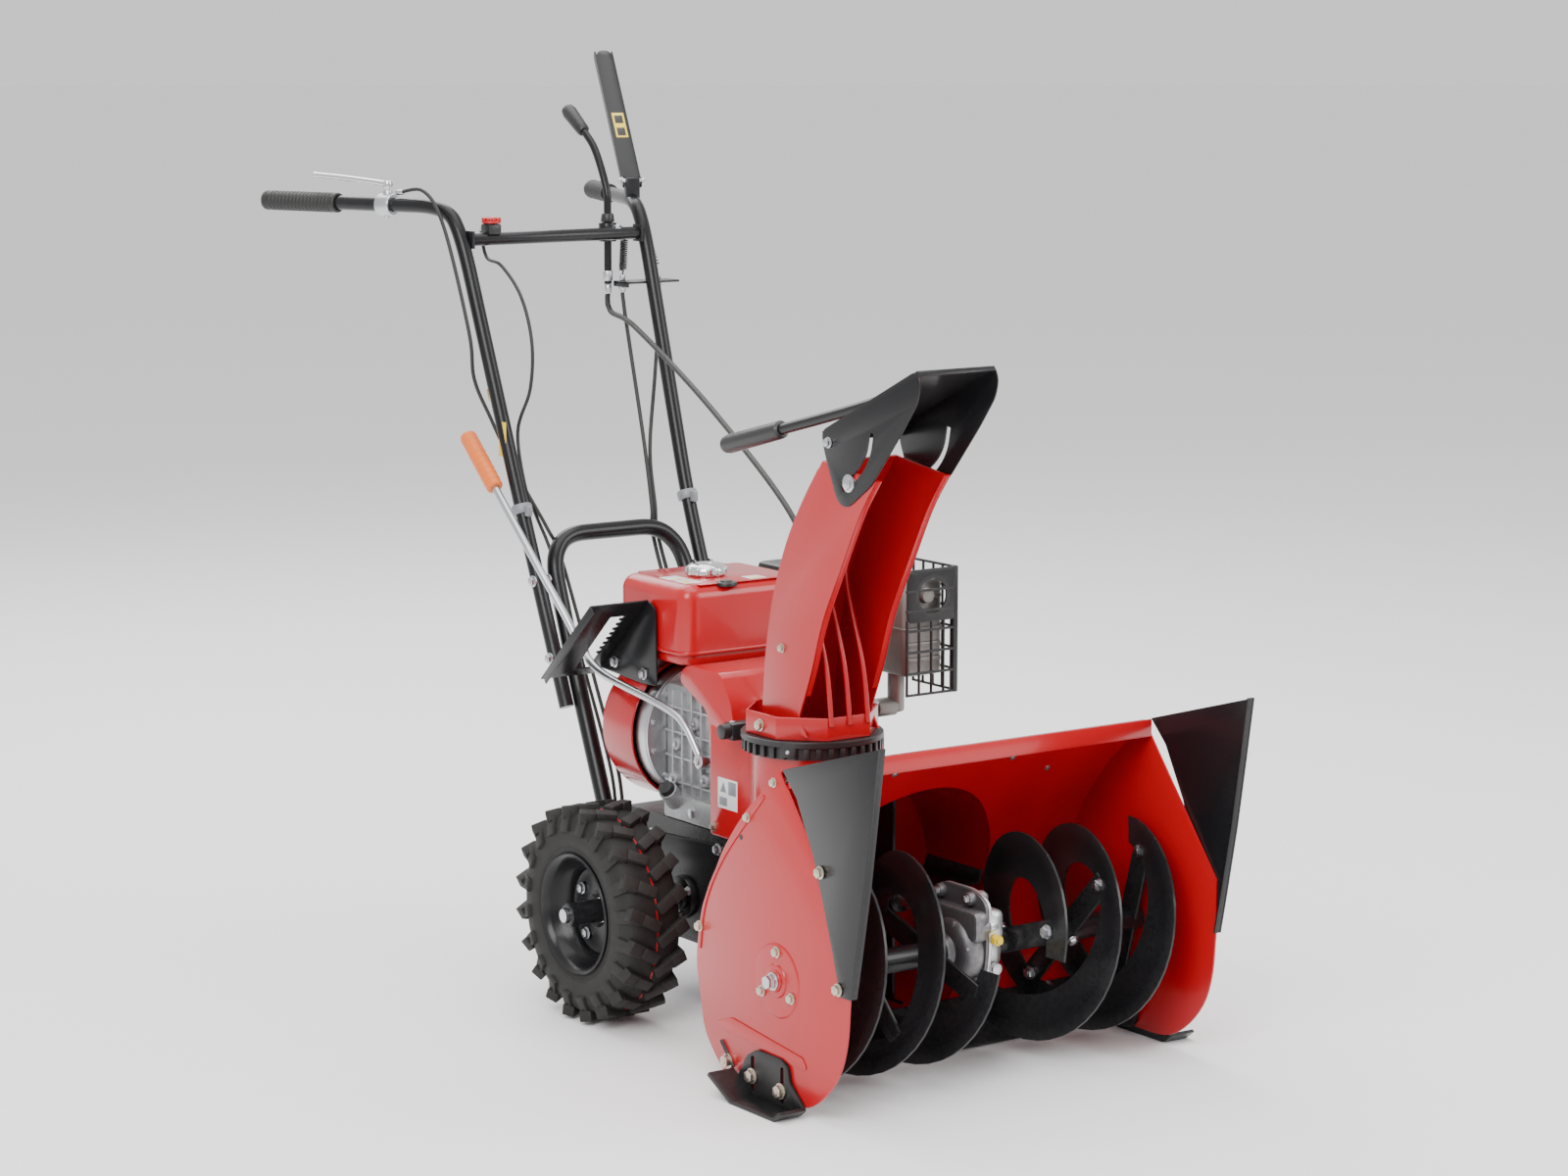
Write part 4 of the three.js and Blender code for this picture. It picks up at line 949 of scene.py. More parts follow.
@dataclass
class Auger:
    """Ribbon auger on its shaft, with the worm gearbox in the middle."""

    y: float = -88.0
    z: float = 169.0
    radius: float = 143.0
    ribbon_width: float = 52.0
    pitch: float = 190.0
    start: float = 54.0
    end: float = 293.0
    shaft_radius: float = 10.0

    def build(self) -> None:
        """Builds shaft, ribbons and gearbox."""
        Shape.paints.coat_node("auger_shaft", Look.ZINC)
        Shape.paints.coat_node("impeller_shaft", Look.ZINC)
        for hand in Hand:
            self._flight(hand)
            self._gearbox_half(hand)

    def _flight(self, hand: Hand) -> None:
        """Builds one side's two ribbons, their arms and the hub tube.

        Args:
            hand: which side.
        """
        s = hand.value
        span = self.end - self.start
        turns = span / self.pitch
        steps = round(turns * 40)
        flight = Shape()
        for phase in (0.0, math.pi):
            self._ribbon(flight, s, phase, turns, steps)
        hub = Vector((s * (self.start - 8), self.y, self.z))
        far = Vector((s * (self.end + 6), self.y, self.z))
        flight.rod(hub, far, 17, sides=36, bevel=0.8)
        for share in (0.04, 0.5, 0.96):
            t = -s * math.tau * turns * share
            x = s * (self.start + span * share)
            turn = Matrix.Translation((x, self.y, self.z)) @ Matrix.Rotation(t, 4, "X")
            flight.use(0).box((-3, -112, -16), (3, 112, 16), 1.5, turn)
            for reach in (-104, 104):
                at = turn @ Vector((s * -3, reach, 0))
                flight.use(1).bolt(at, (-s, 0, 0), 9)
            pin = turn @ Vector((0, 0, 17))
            flight.bolt(pin, turn.to_3x3() @ Vector((0, 0, 1)), 8)
        flight.finish(f"auger_flight_{hand.word}_ribbon", "auger", [Look.BLACK, Look.ZINC],
                      "black_paint", (f"auger_flight_{hand.word}",))

    def _ribbon(self, flight: Shape, s: int, phase: float, turns: float, steps: int) -> None:
        """Spins one radial edge along the shaft into a ribbon.

        Args:
            flight: the shape to add to.
            s: the side's sign.
            phase: the ribbon's starting angle.
            turns: how often it goes round.
            steps: the number of steps.
        """
        bm = flight.mesh
        x = s * (self.start + 2)
        across = Vector((0, math.cos(phase), math.sin(phase)))
        centre = Vector((x, self.y, self.z))
        radii = (self.radius - self.ribbon_width, self.radius - 20, self.radius - 0.5)
        verts = [bm.verts.new(centre + across * r) for r in radii]
        edges = [bm.edges.new(pair) for pair in zip(verts, verts[1:])]
        before = set(bm.faces)
        bmesh.ops.spin(bm, geom=[*verts, *edges], cent=centre, axis=(1, 0, 0),
                       dvec=Vector((s * (self.end - self.start - 4) / steps, 0, 0)),
                       angle=-s * math.tau * turns, steps=steps)
        faces = [f for f in bm.faces if f not in before]
        self._crescents({vert for face in faces for vert in face.verts}, x)
        bmesh.ops.recalc_face_normals(bm, faces=faces)
        bmesh.ops.solidify(bm, geom=faces, thickness=3.6)
        flight._claim()

    def _crescents(self, verts: set[bmesh.types.BMVert], x: float) -> None:
        """Narrows a ribbon where it meets its arms and widens it between them.

        Args:
            verts: the ribbon's vertices.
            x: where the ribbon starts.
        """
        inner = self.radius - self.ribbon_width
        for vert in verts:
            away = Vector((0, vert.co.y - self.y, vert.co.z - self.z))
            if away.length > inner + 5:
                continue
            share = abs(vert.co.x - x) / (self.end - self.start - 4)
            width = self.ribbon_width * (0.72 + 0.5 * abs(math.sin(math.tau * share)))
            reach = away.normalized() * (self.radius - width)
            vert.co.y, vert.co.z = self.y + reach.y, self.z + reach.z

    def _gearbox_half(self, hand: Hand) -> None:
        """Builds one half of the worm gearbox with its joint bolts.

        Args:
            hand: which side.
        """
        s = hand.value
        y, z = self.y, self.z
        look = Look.DARK_CAST if hand is Hand.RIGHT else Look.BRIGHT_CAST
        joint = s * 0.15
        case = Shape()
        case.lathe((0, y, z), (s, 0, 0), [
            (0.15, 0), (0.15, 47), (16, 47), (26, 43), (33, 34), (35, 24), (44, 20), (44, 11), (36, 11),
            (36, 0)])
        body = rounded([(-142, 186), (-142, 228), (-20, 228), (-20, 186)], 12)
        low, high = sorted((joint, s * 24))
        case.plate("x", body, low, high, 7.0)
        flange = rounded([(-140, 174), (-139, 238), (-110, 252), (-40, 252), (-16, 234), (-18, 180),
                          (-46, 118), (-88, 112), (-132, 120)], 16, 6)
        low, high = sorted((joint, s * 5))
        case.plate("x", flange, low, high, 1.2)
        for by, bz in ((-108, 240), (-44, 240), (-124, 128), (-54, 126), (-134, 206), (-24, 208)):
            case.rod((joint, by, bz), (s * 14, by, bz), 10, 8.5, 24, 0.8)
        for k in range(6):
            t = math.tau * k / 6 + 0.3
            turn = Matrix.Translation((0, y, z)) @ Matrix.Rotation(t, 4, "X")
            low_x, high_x = sorted((s * 12, s * 31))
            case.box((low_x, -2, 18), (high_x, 2, 43), 1.0, turn)
        case.use(1)
        for by, bz in ((-108, 240), (-44, 240), (-124, 128), (-54, 126), (-134, 206)):
            case.bolt((s * 14, by, bz), (s, 0, 0), 6)
        if hand is Hand.LEFT:
            case.use(2).rod((8, -141, 189), (8, -150, 189), 8, sides=6, bevel=0.8)
            case.rod((8, -150, 189), (8, -154, 189), 5, bevel=0.8)
            case.use(1).rod((12, -134, 148), (12, -143, 148), 8, sides=24, bevel=1.0)
        case.finish(f"gearbox_{hand.word}_case", "machine_frame", [look, Look.ZINC, Look.YELLOW],
                    "cast_metal", (f"gearbox_cover_{hand.word}",))


@dataclass
class Impeller:
    """The thrower behind the auger, carried over with its own bolts."""

    z: float = 207.0
    front: float = 66.0

    def build(self) -> None:
        """Coats the carried-over nodes and adds the blade bolts."""
        Shape.paints.coat_node("impeller", Look.BLACK)
        Shape.paints.coat_node("impeller_pulley", Look.ZINC)
        hub = Shape().use(0)
        hub.rod((0, self.front - 12, self.z), (0, self.front + 60, self.z), 19, sides=40, bevel=1.5)
        hub.use(1)
        for x, z in ring_points(0, self.z, 19, 2, 0.8):
            hub.bolt((x, self.front + 20, z), (x, 0, z - self.z), 8)
        hub.finish("impeller_hub", "impeller_rotor", [Look.BLACK, Look.ZINC], "black_paint")


# ---------------------------------------------------------------- wheels and chassis


@dataclass
class Wheel:
    """One driven wheel: deep steel rim and lugged tyre."""

    hand: Hand
    y: float = 418.0
    z: float = 155.0
    centre: float = 254.0
    outer: float = 154.4
    body_radius: float = 146.0

    def build(self) -> None:
        """Builds tyre and rim."""
        self._tyre()
        self._rim()

    def _place(self, along: float, reach: float, angle: float) -> Matrix:
        """A spot on the wheel, measured along the axle, out from it and round it.

        Args:
            along: distance outwards from the wheel's middle plane.
            reach: radius.
            angle: the turn round the axle.

        Returns:
            The matrix that carries zero to that spot, with +Z pointing out.
        """
        s = self.hand.value
        move = Matrix.Translation((s * (self.centre + along), self.y, self.z))
        return move @ Matrix.Rotation(angle, 4, "X") @ Matrix.Translation((0, 0, reach))

    def _tyre(self) -> None:
        """Builds the tyre's casing and its lugs."""
        s = self.hand.value
        start = (s * self.centre, self.y, self.z)
        half = [(31, 78), (39, 80), (44, 86), (46.5, 98), (47, 112), (45, 126), (41, 136), (33, 142),
                (18, 144)]
        profile = [*half, *[(-d, r) for d, r in reversed(half)]]
        tyre = Shape().lathe(start, (s, 0, 0), profile, 72)
        for side in (-1, 1):
            tyre.lathe(start, (s, 0, 0), [(side * 45.5, 92), (side * 47.4, 94), (side * 45.5, 96)], 72)
        count = 20
        for k in range(count):
            angle = math.tau * k / count
            half_step = math.pi / count
            for side in (-1, 1):
                swing = Matrix.Rotation(0.5 * side * s, 4, "Z")
                shoulder = angle + (half_step if side > 0 else 0)
                at = self._place(side * 13, 143, shoulder + half_step * 0.5)
                tyre.box((-15, -8, -6), (15, 8, 9.6), 1.6, at @ swing)
                at = self._place(side * 36, 142, shoulder)
                tyre.box((-12, -9.5, -6), (11, 9.5, 9.8), 1.6, at @ swing)
                at = self._place(side * 42, 128, shoulder)
                lean = Matrix.Rotation(-side * s * 0.3, 4, "Y")
                tyre.box((-6, -9, -13), (5, 9, 16), 1.6, at @ lean)
                at = self._place(side * 43.6, 111, shoulder + half_step)
                tyre.box((-3, -5, -7), (2.6, 5, 8), 1.2, at)
        tyre.use(1)
        tyre.lathe(start, (s, 0, 0), [(-1.2, 143), (-1.2, 144.5), (1.2, 144.5), (1.2, 143)], 72)
        tyre.finish(f"tyre_{self.hand.word}_tread", "drive_wheels", [Look.TYRE, Look.RED_PLASTIC],
                    "tyre_rubber", (f"tyre_{self.hand.word}",), 40)

    def _rim(self) -> None:
        """Builds the two-piece rim with its hub, rim bolts and valve."""
        s = self.hand.value
        start = (0, self.y, self.z)
        profile = [
            (214, 76), (206, 84), (208, 86), (212, 84), (220, 79), (288, 79), (296, 84), (300.5, 86),
            (302.5, 84), (300, 80), (292, 75), (282, 72), (275, 66), (270, 62), (262, 60), (259, 52),
            (262, 36), (262, 24), (258, 18), (254, 18), (254, 40), (250, 62), (240, 70), (226, 72)]
        rim = Shape().lathe(start, (s, 0, 0), profile, 72)
        hub = [(226, 11), (226, 16.5), (310, 16.5), (312, 14.5), (312, 11)]
        rim.lathe(start, (s, 0, 0), hub, 40)
        rim.use(1)
        for y, z in ring_points(self.y, self.z, 45, 4, 0.6):
            rim.bolt((s * 262, y, z), (s, 0, 0), 8)
        rim.rod((s * 300, self.y - 15, self.z + 5), (s * 300, self.y + 20, self.z - 5), 3.2, bevel=0.6)
        rim.use(2)
        valve = Vector((s * 268, self.y - 46, self.z + 42))
        rim.rod(valve, valve + Vector((s * 22, 6, -6)), 4.4, 3.2, 16, 0.6)
        rim.finish(f"wheel_rim_{self.hand.word}_dish", "drive_wheels",
                   [Look.BLACK, Look.ZINC, Look.RUBBER], "black_paint",
                   (f"wheel_rim_{self.hand.word}",))


@dataclass
class Chassis:
    """Boxed frame that carries the axle, the engine and the handle."""

    half: float = 112.0

    def build(self) -> None:
        """Coats the carried-over nodes and adds side plates and bolts."""
        Shape.paints.coat_node("chassis_frame", Look.BLACK)
        Shape.paints.coat_node("wheel_axle", Look.ZINC)
        Shape.paints.coat_node("engine_crankshaft", Look.ZINC)
        Shape.paints.coat_node("auger_belt", Look.RUBBER)
        dress = Shape()
        for s in (-1, 1):
            low, high = sorted((s * (self.half - 1), s * (self.half + 2.5)))
            edge = rounded([(250, 120), (280, 100), (545, 100), (584, 152), (584, 232), (250, 250)], 12)
            dress.use(0).plate("x", edge, low, high, 0.8)
            dress.rod((s * 112, 418, 155), (s * 122, 418, 155), 32, 30, 48, 1.2)
            dress.rod((s * 120, 418, 155), (s * 128, 418, 155), 19, 17, 36, 1.0)
            dress.use(1)
            for y, z in ((262, 230), (262, 140), (330, 240), (500, 232), (570, 220), (560, 130)):
                dress.bolt((s * 114.5, y, z), (s, 0, 0), 8)
            for y, z in ring_points(418, 155, 26, 3, 0.5):
                dress.bolt((s * 122, y, z), (s, 0, 0), 6)
        dress.finish("chassis_side_plates", "machine_frame", [Look.BLACK, Look.ZINC],
                     "black_paint")


# ---------------------------------------------------------------- chute


@dataclass
class Chute:
    """Discharge chute on its toothed ring, with the tilting deflector."""

    x: float = -92.0
    y: float = 136.0
    ring_low: float = 414.0
    collar_low: float = 440.3
    half: float = 59.5
    rear: tuple = ((168, 446), (164, 498), (158, 553), (142, 625), (111, 702), (74, 762), (28, 822))
    front: tuple = ((-90, 806), (-54, 758), (-13, 684), (28, 607), (54, 534), (82, 470))

    def build(self) -> None:
        """Builds ring, worm housing, chute and deflector."""
        self._ring()
        self._worm()
        self._body()
        self._deflector()
        self._tilt_bar()

    def _ring(self) -> None:
        """Builds the fixed toothed ring with its clamp lugs."""
        x, y, z = self.x, self.y, self.ring_low
        ring = Shape()
        ring.lathe((x, y, z), (0, 0, 1), [(0.2, 80), (0.2, 91), (17, 91), (17, 80)], 72)
        ring.lathe((x, y, z), (0, 0, 1), [(16.5, 80), (16.5, 96), (18, 97.5), (24.5, 97.5), (25.8, 96),
                                          (25.8, 80)], 96)
        for k in range(36):
            t = math.tau * k / 36
            turn = Matrix.Translation((x, y, z)) @ Matrix.Rotation(t, 4, "Z")
            ring.box((89, -3.6, 1), (95.8, 3.6, 17), 0.7, turn)
        for deg in (215, 335, 95):
            turn = Matrix.Translation((x, y, z)) @ Matrix.Rotation(math.radians(deg), 4, "Z")
            ring.use(0).box((84, -11, 4), (97.2, 11, 25.6), 1.5, turn)
            at = turn @ Vector((97.2, 0, 12))
            outwards = turn.to_3x3() @ Vector((1, 0, 0))
            ring.use(1).bolt(at - outwards * 0.6, outwards, 3.5, washer=False)
        ring.finish("chute_ring_gear", "machine_frame", [Look.PLASTIC, Look.ZINC],
                    "black_plastic", ("chute_ring",))

    def _worm(self) -> None:
        """Builds the housing of the worm that turns the chute."""
        x, y, z = self.x, self.y + 96, self.ring_low
        case = Shape().box((x - 62, y + 4.5, z - 0.8), (x - 6, y + 29.5, z + 23.5), 4.0)
        case.rod((x - 74, y + 17, z + 12), (x + 14, y + 17, z + 12), 10.6, sides=32, bevel=2.0)
        case.use(1)
        for dx in (-54, -14):
            case.bolt((x + dx, y + 17, z + 22.5), (0, 0, 1), 5, washer=False)
        case.finish("chute_worm_case", "machine_frame", [Look.PLASTIC, Look.ZINC],
                    "black_plastic", ("chute_worm_housing",))

    def _body(self) -> None:
        """Builds the chute's channel, octagon collar, guard bars and bolts."""
        x, y, z = self.x, self.y, self.collar_low
        rear, front = fair_edge(list(self.rear), 16), fair_edge(list(self.front), 16)
        edge = [*rear, *front, (64, 446)]
        chute = Shape()
        for s in (-1, 1):
            low, high = sorted((x + s * self.half - 1.5, x + s * self.half + 1.5))
            chute.plate("x", edge, low, high, 0.6)
            lip = stripe([(a, b) for a, b in front[:-2]], 2.4)
            low, high = sorted((x + s * (self.half - 9), x + s * (self.half + 1.4)))
            chute.plate("x", lip, low, high, 0.6)
        chute.plate("x", stripe(rear, 3.0), x - self.half, x + self.half, 0.0)
        for s in (-1, 1):
            low, high = sorted((x + s * 50, x + s * 60.6))
            chute.plate("x", stripe([(a + 1.2, b + 0.6) for a, b in rear[:-1]], 3.2), low, high, 0.5)
        collar = Shape().plate("z", ring_points(x, y, 92, 8, math.pi / 8), z, z + 31, 0.8)
        collar.cut(Shape().plate("z", ring_points(x, y, 88.5, 8, math.pi / 8), z - 5, z + 40, 0.0))
        chute.merge(collar)
        flange = Shape().plate("z", ring_points(x, y, 91, 8, math.pi / 8), z + 0.1, z + 2.2, 0.3)
        chute.merge(flange.cut(Shape().rod((x, y, z - 3), (x, y, z + 6), 78, sides=64, bevel=0)))
        for dx in (-30, 0, 30):
            path = [(x + dx, y - 87, z + 20), (x + dx, 62, 540), (x + dx, 98, 640), (x + dx, 99, 690)]
            chute.tube(path, 3.6, 14, 14)
        chute.use(1)
        for t in (math.pi, math.pi * 0.5, 0.0):
            out = Vector((math.cos(t), math.sin(t), 0))
            chute.bolt(Vector((x, y, z + 15)) + out * 85, out, 8)
        for s in (-1, 1):
            chute.bolt((x + s * (self.half + 1.5), 120, 560), (s, 0, 0), 6)
        chute.finish("discharge_chute_channel", "chute", [Look.RED, Look.GOLD_ZINC],
                     "housing_red", ("discharge_chute",))

    def _deflector(self) -> None:
        """Builds the deflector's cheeks with their arc slots, top sheet and clamp bolts."""
        x, reach = self.x, self.half + 1.8
        cheek = rounded([(22, 838), (27, 862), (-178, 957), (-187, 940), (-181, 916), (-148, 874),
                         (-83, 800), (-30, 765), (-8, 772)], 12, 5)
        slot_line = fair_edge([(-88, 868), (-80, 838), (-60, 812), (-22, 786)], 6)
        hood = Shape()
        for s in (-1, 1):
            low, high = sorted((x + s * reach, x + s * (reach + 2.3)))
            side = Shape().plate("x", cheek, low, high, 0.5)
            slot = [(a, b) for a, b in stripe(slot_line, 9.0)]
            cut_low, cut_high = sorted((x + s * (reach - 4), x + s * (reach + 8)))
            side.cut(Shape().plate("x", slot, cut_low, cut_high, 0.0))
            hood.merge(side)
        top = [(25, 848), (27, 861), (-178, 956.5), (-179, 952.5), (22, 858.5), (21, 848)]
        hood.plate("x", top, x - reach - 1, x + reach + 1, 0.5)
        lip = [(-178, 956.5), (-182, 951), (-180.5, 949.5), (-176, 954)]
        hood.plate("x", lip, x - reach - 1, x + reach + 1, 0.3)
        for s in (-1, 1):
            hood.use(1).bolt((x + s * (reach + 2.3), 10, 848), (s, 0, 0), 7)
            hood.bolt((x + s * 14, -38, 893), (0, 0.42, 0.91), 6)
        hood.finish("chute_deflector_hood", "deflector", [Look.BLACK, Look.ZINC],
                    "black_paint", ("chute_deflector",))
        clamp = Shape()
        for s in (-1, 1):
            clamp.bolt((x + s * (self.half + 1.4), -36, 799), (s, 0, 0), 10)
            clamp.rod((x + s * (self.half + 2), -36, 799), (x + s * (self.half + 7), -36, 799), 12, bevel=0.8)
        clamp.finish("deflector_clamp_bolts", "chute", [Look.ZINC], "zinc_plate")

    def _tilt_bar(self) -> None:
        """Builds the bar that tilts the deflector, with its grip."""
        x = self.x
        bar = Shape().tube([(x, -60, 913.5), (x, -30, 904.5), (x, 60, 880), (x, 225, 838.5)], 7.8, 18)
        bar.box((x - 16, -66, 899), (x + 16, -22, 903), 1.2,
                Matrix.Translation((0, -44, 901)) @ Matrix.Rotation(-0.43, 4, "X")
                @ Matrix.Translation((0, 44, -896)))
        grip_start, grip_end = Vector((x, 206, 843.2)), Vector((x, 344, 808.3))
        bar.use(1)
        profile = [(0, 0), (0, 9.5), (3, 12.5), (8, 12.9), (128, 13.6), (138, 12), (141.5, 7), (142, 0)]
        bar.lathe(grip_start, grip_end - grip_start, profile, 36)
        bar.finish("deflector_tilt_bar", "deflector", [Look.BLACK, Look.PLASTIC],
                   "black_paint", ("deflector_handle",))


# ---------------------------------------------------------------- engine


@dataclass
class Engine:
    """Horizontal-shaft engine with tank, air cleaner, recoil housing and muffler."""

    crank_x: float = -34.0
    crank_z: float = 377.0
    floor: float = 262.3

    def build(self) -> None:
        """Builds every part of the engine."""
        self._crankcase()
        self._cylinder()
        self._fan_housing()
        self._recoil()
        self._tank()
        self._cap()
        self._air_cleaner()
        self._carburettor()
        self._muffler()
        self._guard()
        self._belt_cover()

    def _crankcase(self) -> None:
        """Builds the ribbed crankcase, its cover, oil filler and shroud plate."""
        x, z, low = self.crank_x, self.crank_z, self.floor
        case = Shape()
        edge = rounded([(346, low), (346, 420), (372, 434), (410, 456), (483, 456), (483, low)], 8)
        case.plate("x", edge, -102, 70, 6.0)
        case.rod((x, 350, z), (x, 338, z), 60, 52, 64, 3)
        case.rod((x, 340, z), (x, 332, z), 30, 27, 48, 2)
        case.box((-113, 353, low), (75, 475, 300), 5.0)
        for y in (360, 384, 408, 432, 456):
            case.box((-109, y - 2, 296), (-98, y + 2, 448), 1.4)
        for h in (316, 352, 388, 424):
            case.box((-107.5, 350, h - 2), (-98, 478, h + 2), 1.4)
        for h, y in ((330, 372), (408, 396), (372, 444), (320, 452)):
            case.rod((-100, y, h), (-112, y, h), 11, 9, 28, 1.2)
        for k in range(8):
            t = math.tau * k / 8 + 0.2
            py, pz = 346, z + 54 * math.sin(t)
            case.rod((x + 54 * math.cos(t), py, pz), (x + 54 * math.cos(t), 334, pz), 7, 6, 20, 0.8)
        case.rod((-108, 446, 288), (-128, 440, 308), 15, 14, 32, 1.5)
        case.use(1)
        for h, y in ((330, 372), (408, 396), (372, 444), (320, 452)):
            case.bolt((-112, y, h), (-1, 0, 0), 5, washer=False)
        for k in range(8):
            t = math.tau * k / 8 + 0.2
            case.bolt((x + 54 * math.cos(t), 334, z + 54 * math.sin(t)), (0, -1, 0), 5, washer=False)
        case.rod((-104, 398, 280), (-117, 398, 280), 8, sides=6, bevel=0.8)
        case.use(2).rod((-126, 440.6, 306), (-133.6, 438.3, 313.6), 13, 11, 12, 2.0)
        case.use(1).rod((x, 484, z), (x, 490, z), 99, sides=96, bevel=1.2)
        case.rod((x, 489, z), (x, 514.5, z), 99.6, sides=96, bevel=1.0)
        case.box((x, 484, 332), (91, 514, 438), 3.0)
        case.use(1)
        for k in range(6):
            t = math.pi * 0.62 + math.pi * 0.76 * k / 5
            case.bolt((x + 90 * math.cos(t), 484, z + 90 * math.sin(t)), (0, -1, 0), 5)
        case.finish("engine_crankcase_body", "machine_frame", [Look.CAST, Look.ZINC, Look.PLASTIC],
                    "cast_metal", ("engine_crankcase",))

    def _cylinder(self) -> None:
        """Builds the finned cylinder, head cover and spark plug."""
        head = Shape().box((70.5, 367, 330), (160, 459, 420), 3)
        for k in range(9):
            x = 80 + k * 8.4
            head.box((x - 1.4, 353, 316), (x + 1.4, 473, 434), 1.0)
        head.box((158, 363, 326), (182, 463, 424), 4)
        head.box((181, 370, 333), (195.5, 456, 417), 6)
        head.use(1)
        for y, z in ((378, 341), (448, 341), (378, 409), (448, 409)):
            head.bolt((194, y, z), (1, 0, 0), 5, washer=False)
        head.use(2).tube([(172, 362, 352), (178, 354, 350), (176, 354.5, 330), (150, 356, 318)], 6, 14, 8)
        head.finish("cylinder_head_fins", "machine_frame", [Look.CAST, Look.ZINC, Look.RUBBER],
                    "cast_metal", ("cylinder_head",))

    def _fan_housing(self) -> None:
        """Builds the recoil and fan housing with its louvres and bolts."""
        x, z = self.crank_x, self.crank_z
        profile = [(516.3, 103), (516.3, 105.8), (588, 105.8), (596, 103.5), (603, 96), (606, 84), (610, 66),
                   (615, 60), (619.4, 54), (619.4, 0), (616, 0), (616, 52), (606, 64), (600, 90),
                   (586, 102.5)]
        drum = Shape().lathe((x, 0, z), (0, 1, 0), profile, 96)
        for ring in (30, 42):
            for k in range(14):
                t = math.tau * k / 14 + (0.22 if ring > 35 else 0)
                turn = Matrix.Translation((x, 0, z)) @ Matrix.Rotation(-t, 4, "Y")
                drum.use(1).box((ring - 4, 616, -2), (ring + 4, 619.7, 2), 0.6, turn)
        drum.use(0).rod((x, 618, z), (x, 619.7, z), 17, 15, 40, 0.5)
        drum.use(2)
        for deg in (30, 120, 210, 300):
            t = math.radians(deg)
            drum.bolt((x + 84 * math.cos(t), 604.5, z + 84 * math.sin(t)), (0, 1, 0), 5)
        drum.finish("fan_housing_shell", "machine_frame", [Look.RED, Look.SATIN, Look.ZINC],
                    "housing_red", ("fan_housing",), 28)

    def _recoil(self) -> None:
        """Builds the starter rope's handle."""
        x, z = self.crank_x + 60, self.crank_z + 62
        pull = Shape().rod((x, 610, z), (x, 636, z), 5.5, 6, 24, 1.0)
        pull.box((x - 23.5, 634.5, z - 7.5), (x + 23.5, 647.5, z + 7.5), 5.0)
        pull.finish("recoil_grip", "recoil_pull", [Look.PLASTIC], "black_plastic",
                    ("recoil_handle",))

    def _tank(self) -> None:
        """Builds the two-shell tank with its seam, gauge and picture labels."""
        def loop(inset: float, corner: float) -> list[Pair]:
            """The tank's outline in plan.

            Args:
                inset: how far it is drawn in.
                corner: the corner's round.

            Returns:
                The outline.
            """
            w, low, high = 112 - inset, 420 + inset, 603 - inset
            return rounded([(-w, low), (w, low), (w, high), (-w, high)], corner, 6)

        tank = Shape().plate("z", loop(6, 26), 485, 503, 4.0)
        tank.plate("z", loop(0.4, 28), 500, 505.5, 1.6)
        tank.plate("z", loop(2.5, 28), 504, 599.6, 0.0)
        tank.mesh.faces.ensure_lookup_table()
        top_edges = [e for e in tank.mesh.edges
                     if all(abs(v.co.z - 599.6) < 0.1 for v in e.verts)
                     and any(abs(f.normal.z) > 0.9 for f in e.link_faces)]
        bmesh.ops.bevel(tank.mesh, geom=top_edges, offset=24, segments=8, profile=0.5,
                        affect="EDGES", material=-1, clamp_overlap=True)
        tank._claim()
        tank.box((-78, 430, 598), (70, 592, 599.7), 0.8)
        tank.rod((-20, 500, 596), (-20, 500, 600.2), 36, 34, 64, 1.0)
        tank.use(1).rod((-32, 431, 595), (-32, 431, 600.3), 16, 15, 40, 1.0)
        tank.rod((-32, 431, 599), (-32, 431, 602.5), 9, 8, 32, 0.8)
        tank.use(2).box((-88, 452, 599.3), (-58, 484, 600.0), 0.2)
        tank.box((-88, 490, 599.3), (-58, 522, 600.0), 0.2)
        tank.box((14, 436, 599.3), (42, 462, 600.0), 0.2)
        tank.use(3).box((-85, 455, 599.5), (-73, 470, 600.2), 0.2)
        tank.box((-84, 494, 599.5), (-62, 498, 600.2), 0.2)
        tank.box((18, 440, 599.5), (38, 446, 600.2), 0.2)
        tank.finish("fuel_tank_shell", "machine_frame",
                    [Look.RED, Look.PLASTIC, Look.WHITE, Look.YELLOW], "housing_red",
                    ("fuel_tank",), 28)

    def _cap(self) -> None:
        """Builds the scalloped fuel cap."""
        x, y = -20.0, 500.0
        cap = Shape().lathe((x, y, 0), (0, 0, 1), [(600.5, 0), (600.5, 27), (604, 29.5), (611, 29.5),
                                                   (615, 27), (617.5, 22), (618.2, 14), (616.6, 10),
                                                   (616.6, 0)], 72)
        for px, py in ring_points(x, y, 27.4, 12):
            cap.rod((px, py, 602), (px, py, 613), 3.4, 2.8, 16, 1.0)
        cap.finish("fuel_cap_scalloped", "tank_cap", [Look.CHROME], "chrome_plate",
                   ("fuel_cap",))

    def _air_cleaner(self) -> None:
        """Builds the air cleaner's cover, base and wing nut."""
        plan = rounded([(117, 472), (205, 472), (205, 581), (117, 581)], 14, 5)
        case = Shape().plate("z", plan, 523, 540, 2.0)
        upper = rounded([(119, 474), (203, 474), (203, 579), (119, 579)], 16, 5)
        case.plate("z", upper, 541, 599.5, 6.0)
        for y in (488, 500, 512, 524, 536, 548):
            case.box((116.6, y, 545), (121, y + 5, 588), 1.0)
        case.rod((161, 528, 598), (161, 528, 603), 13, 12, 36, 1.2)
        case.box((150, 524, 602), (172, 532, 607.8), 2.0)
        case.finish("air_cleaner_case", "machine_frame", [Look.PLASTIC], "black_plastic",
                    ("air_cleaner",))

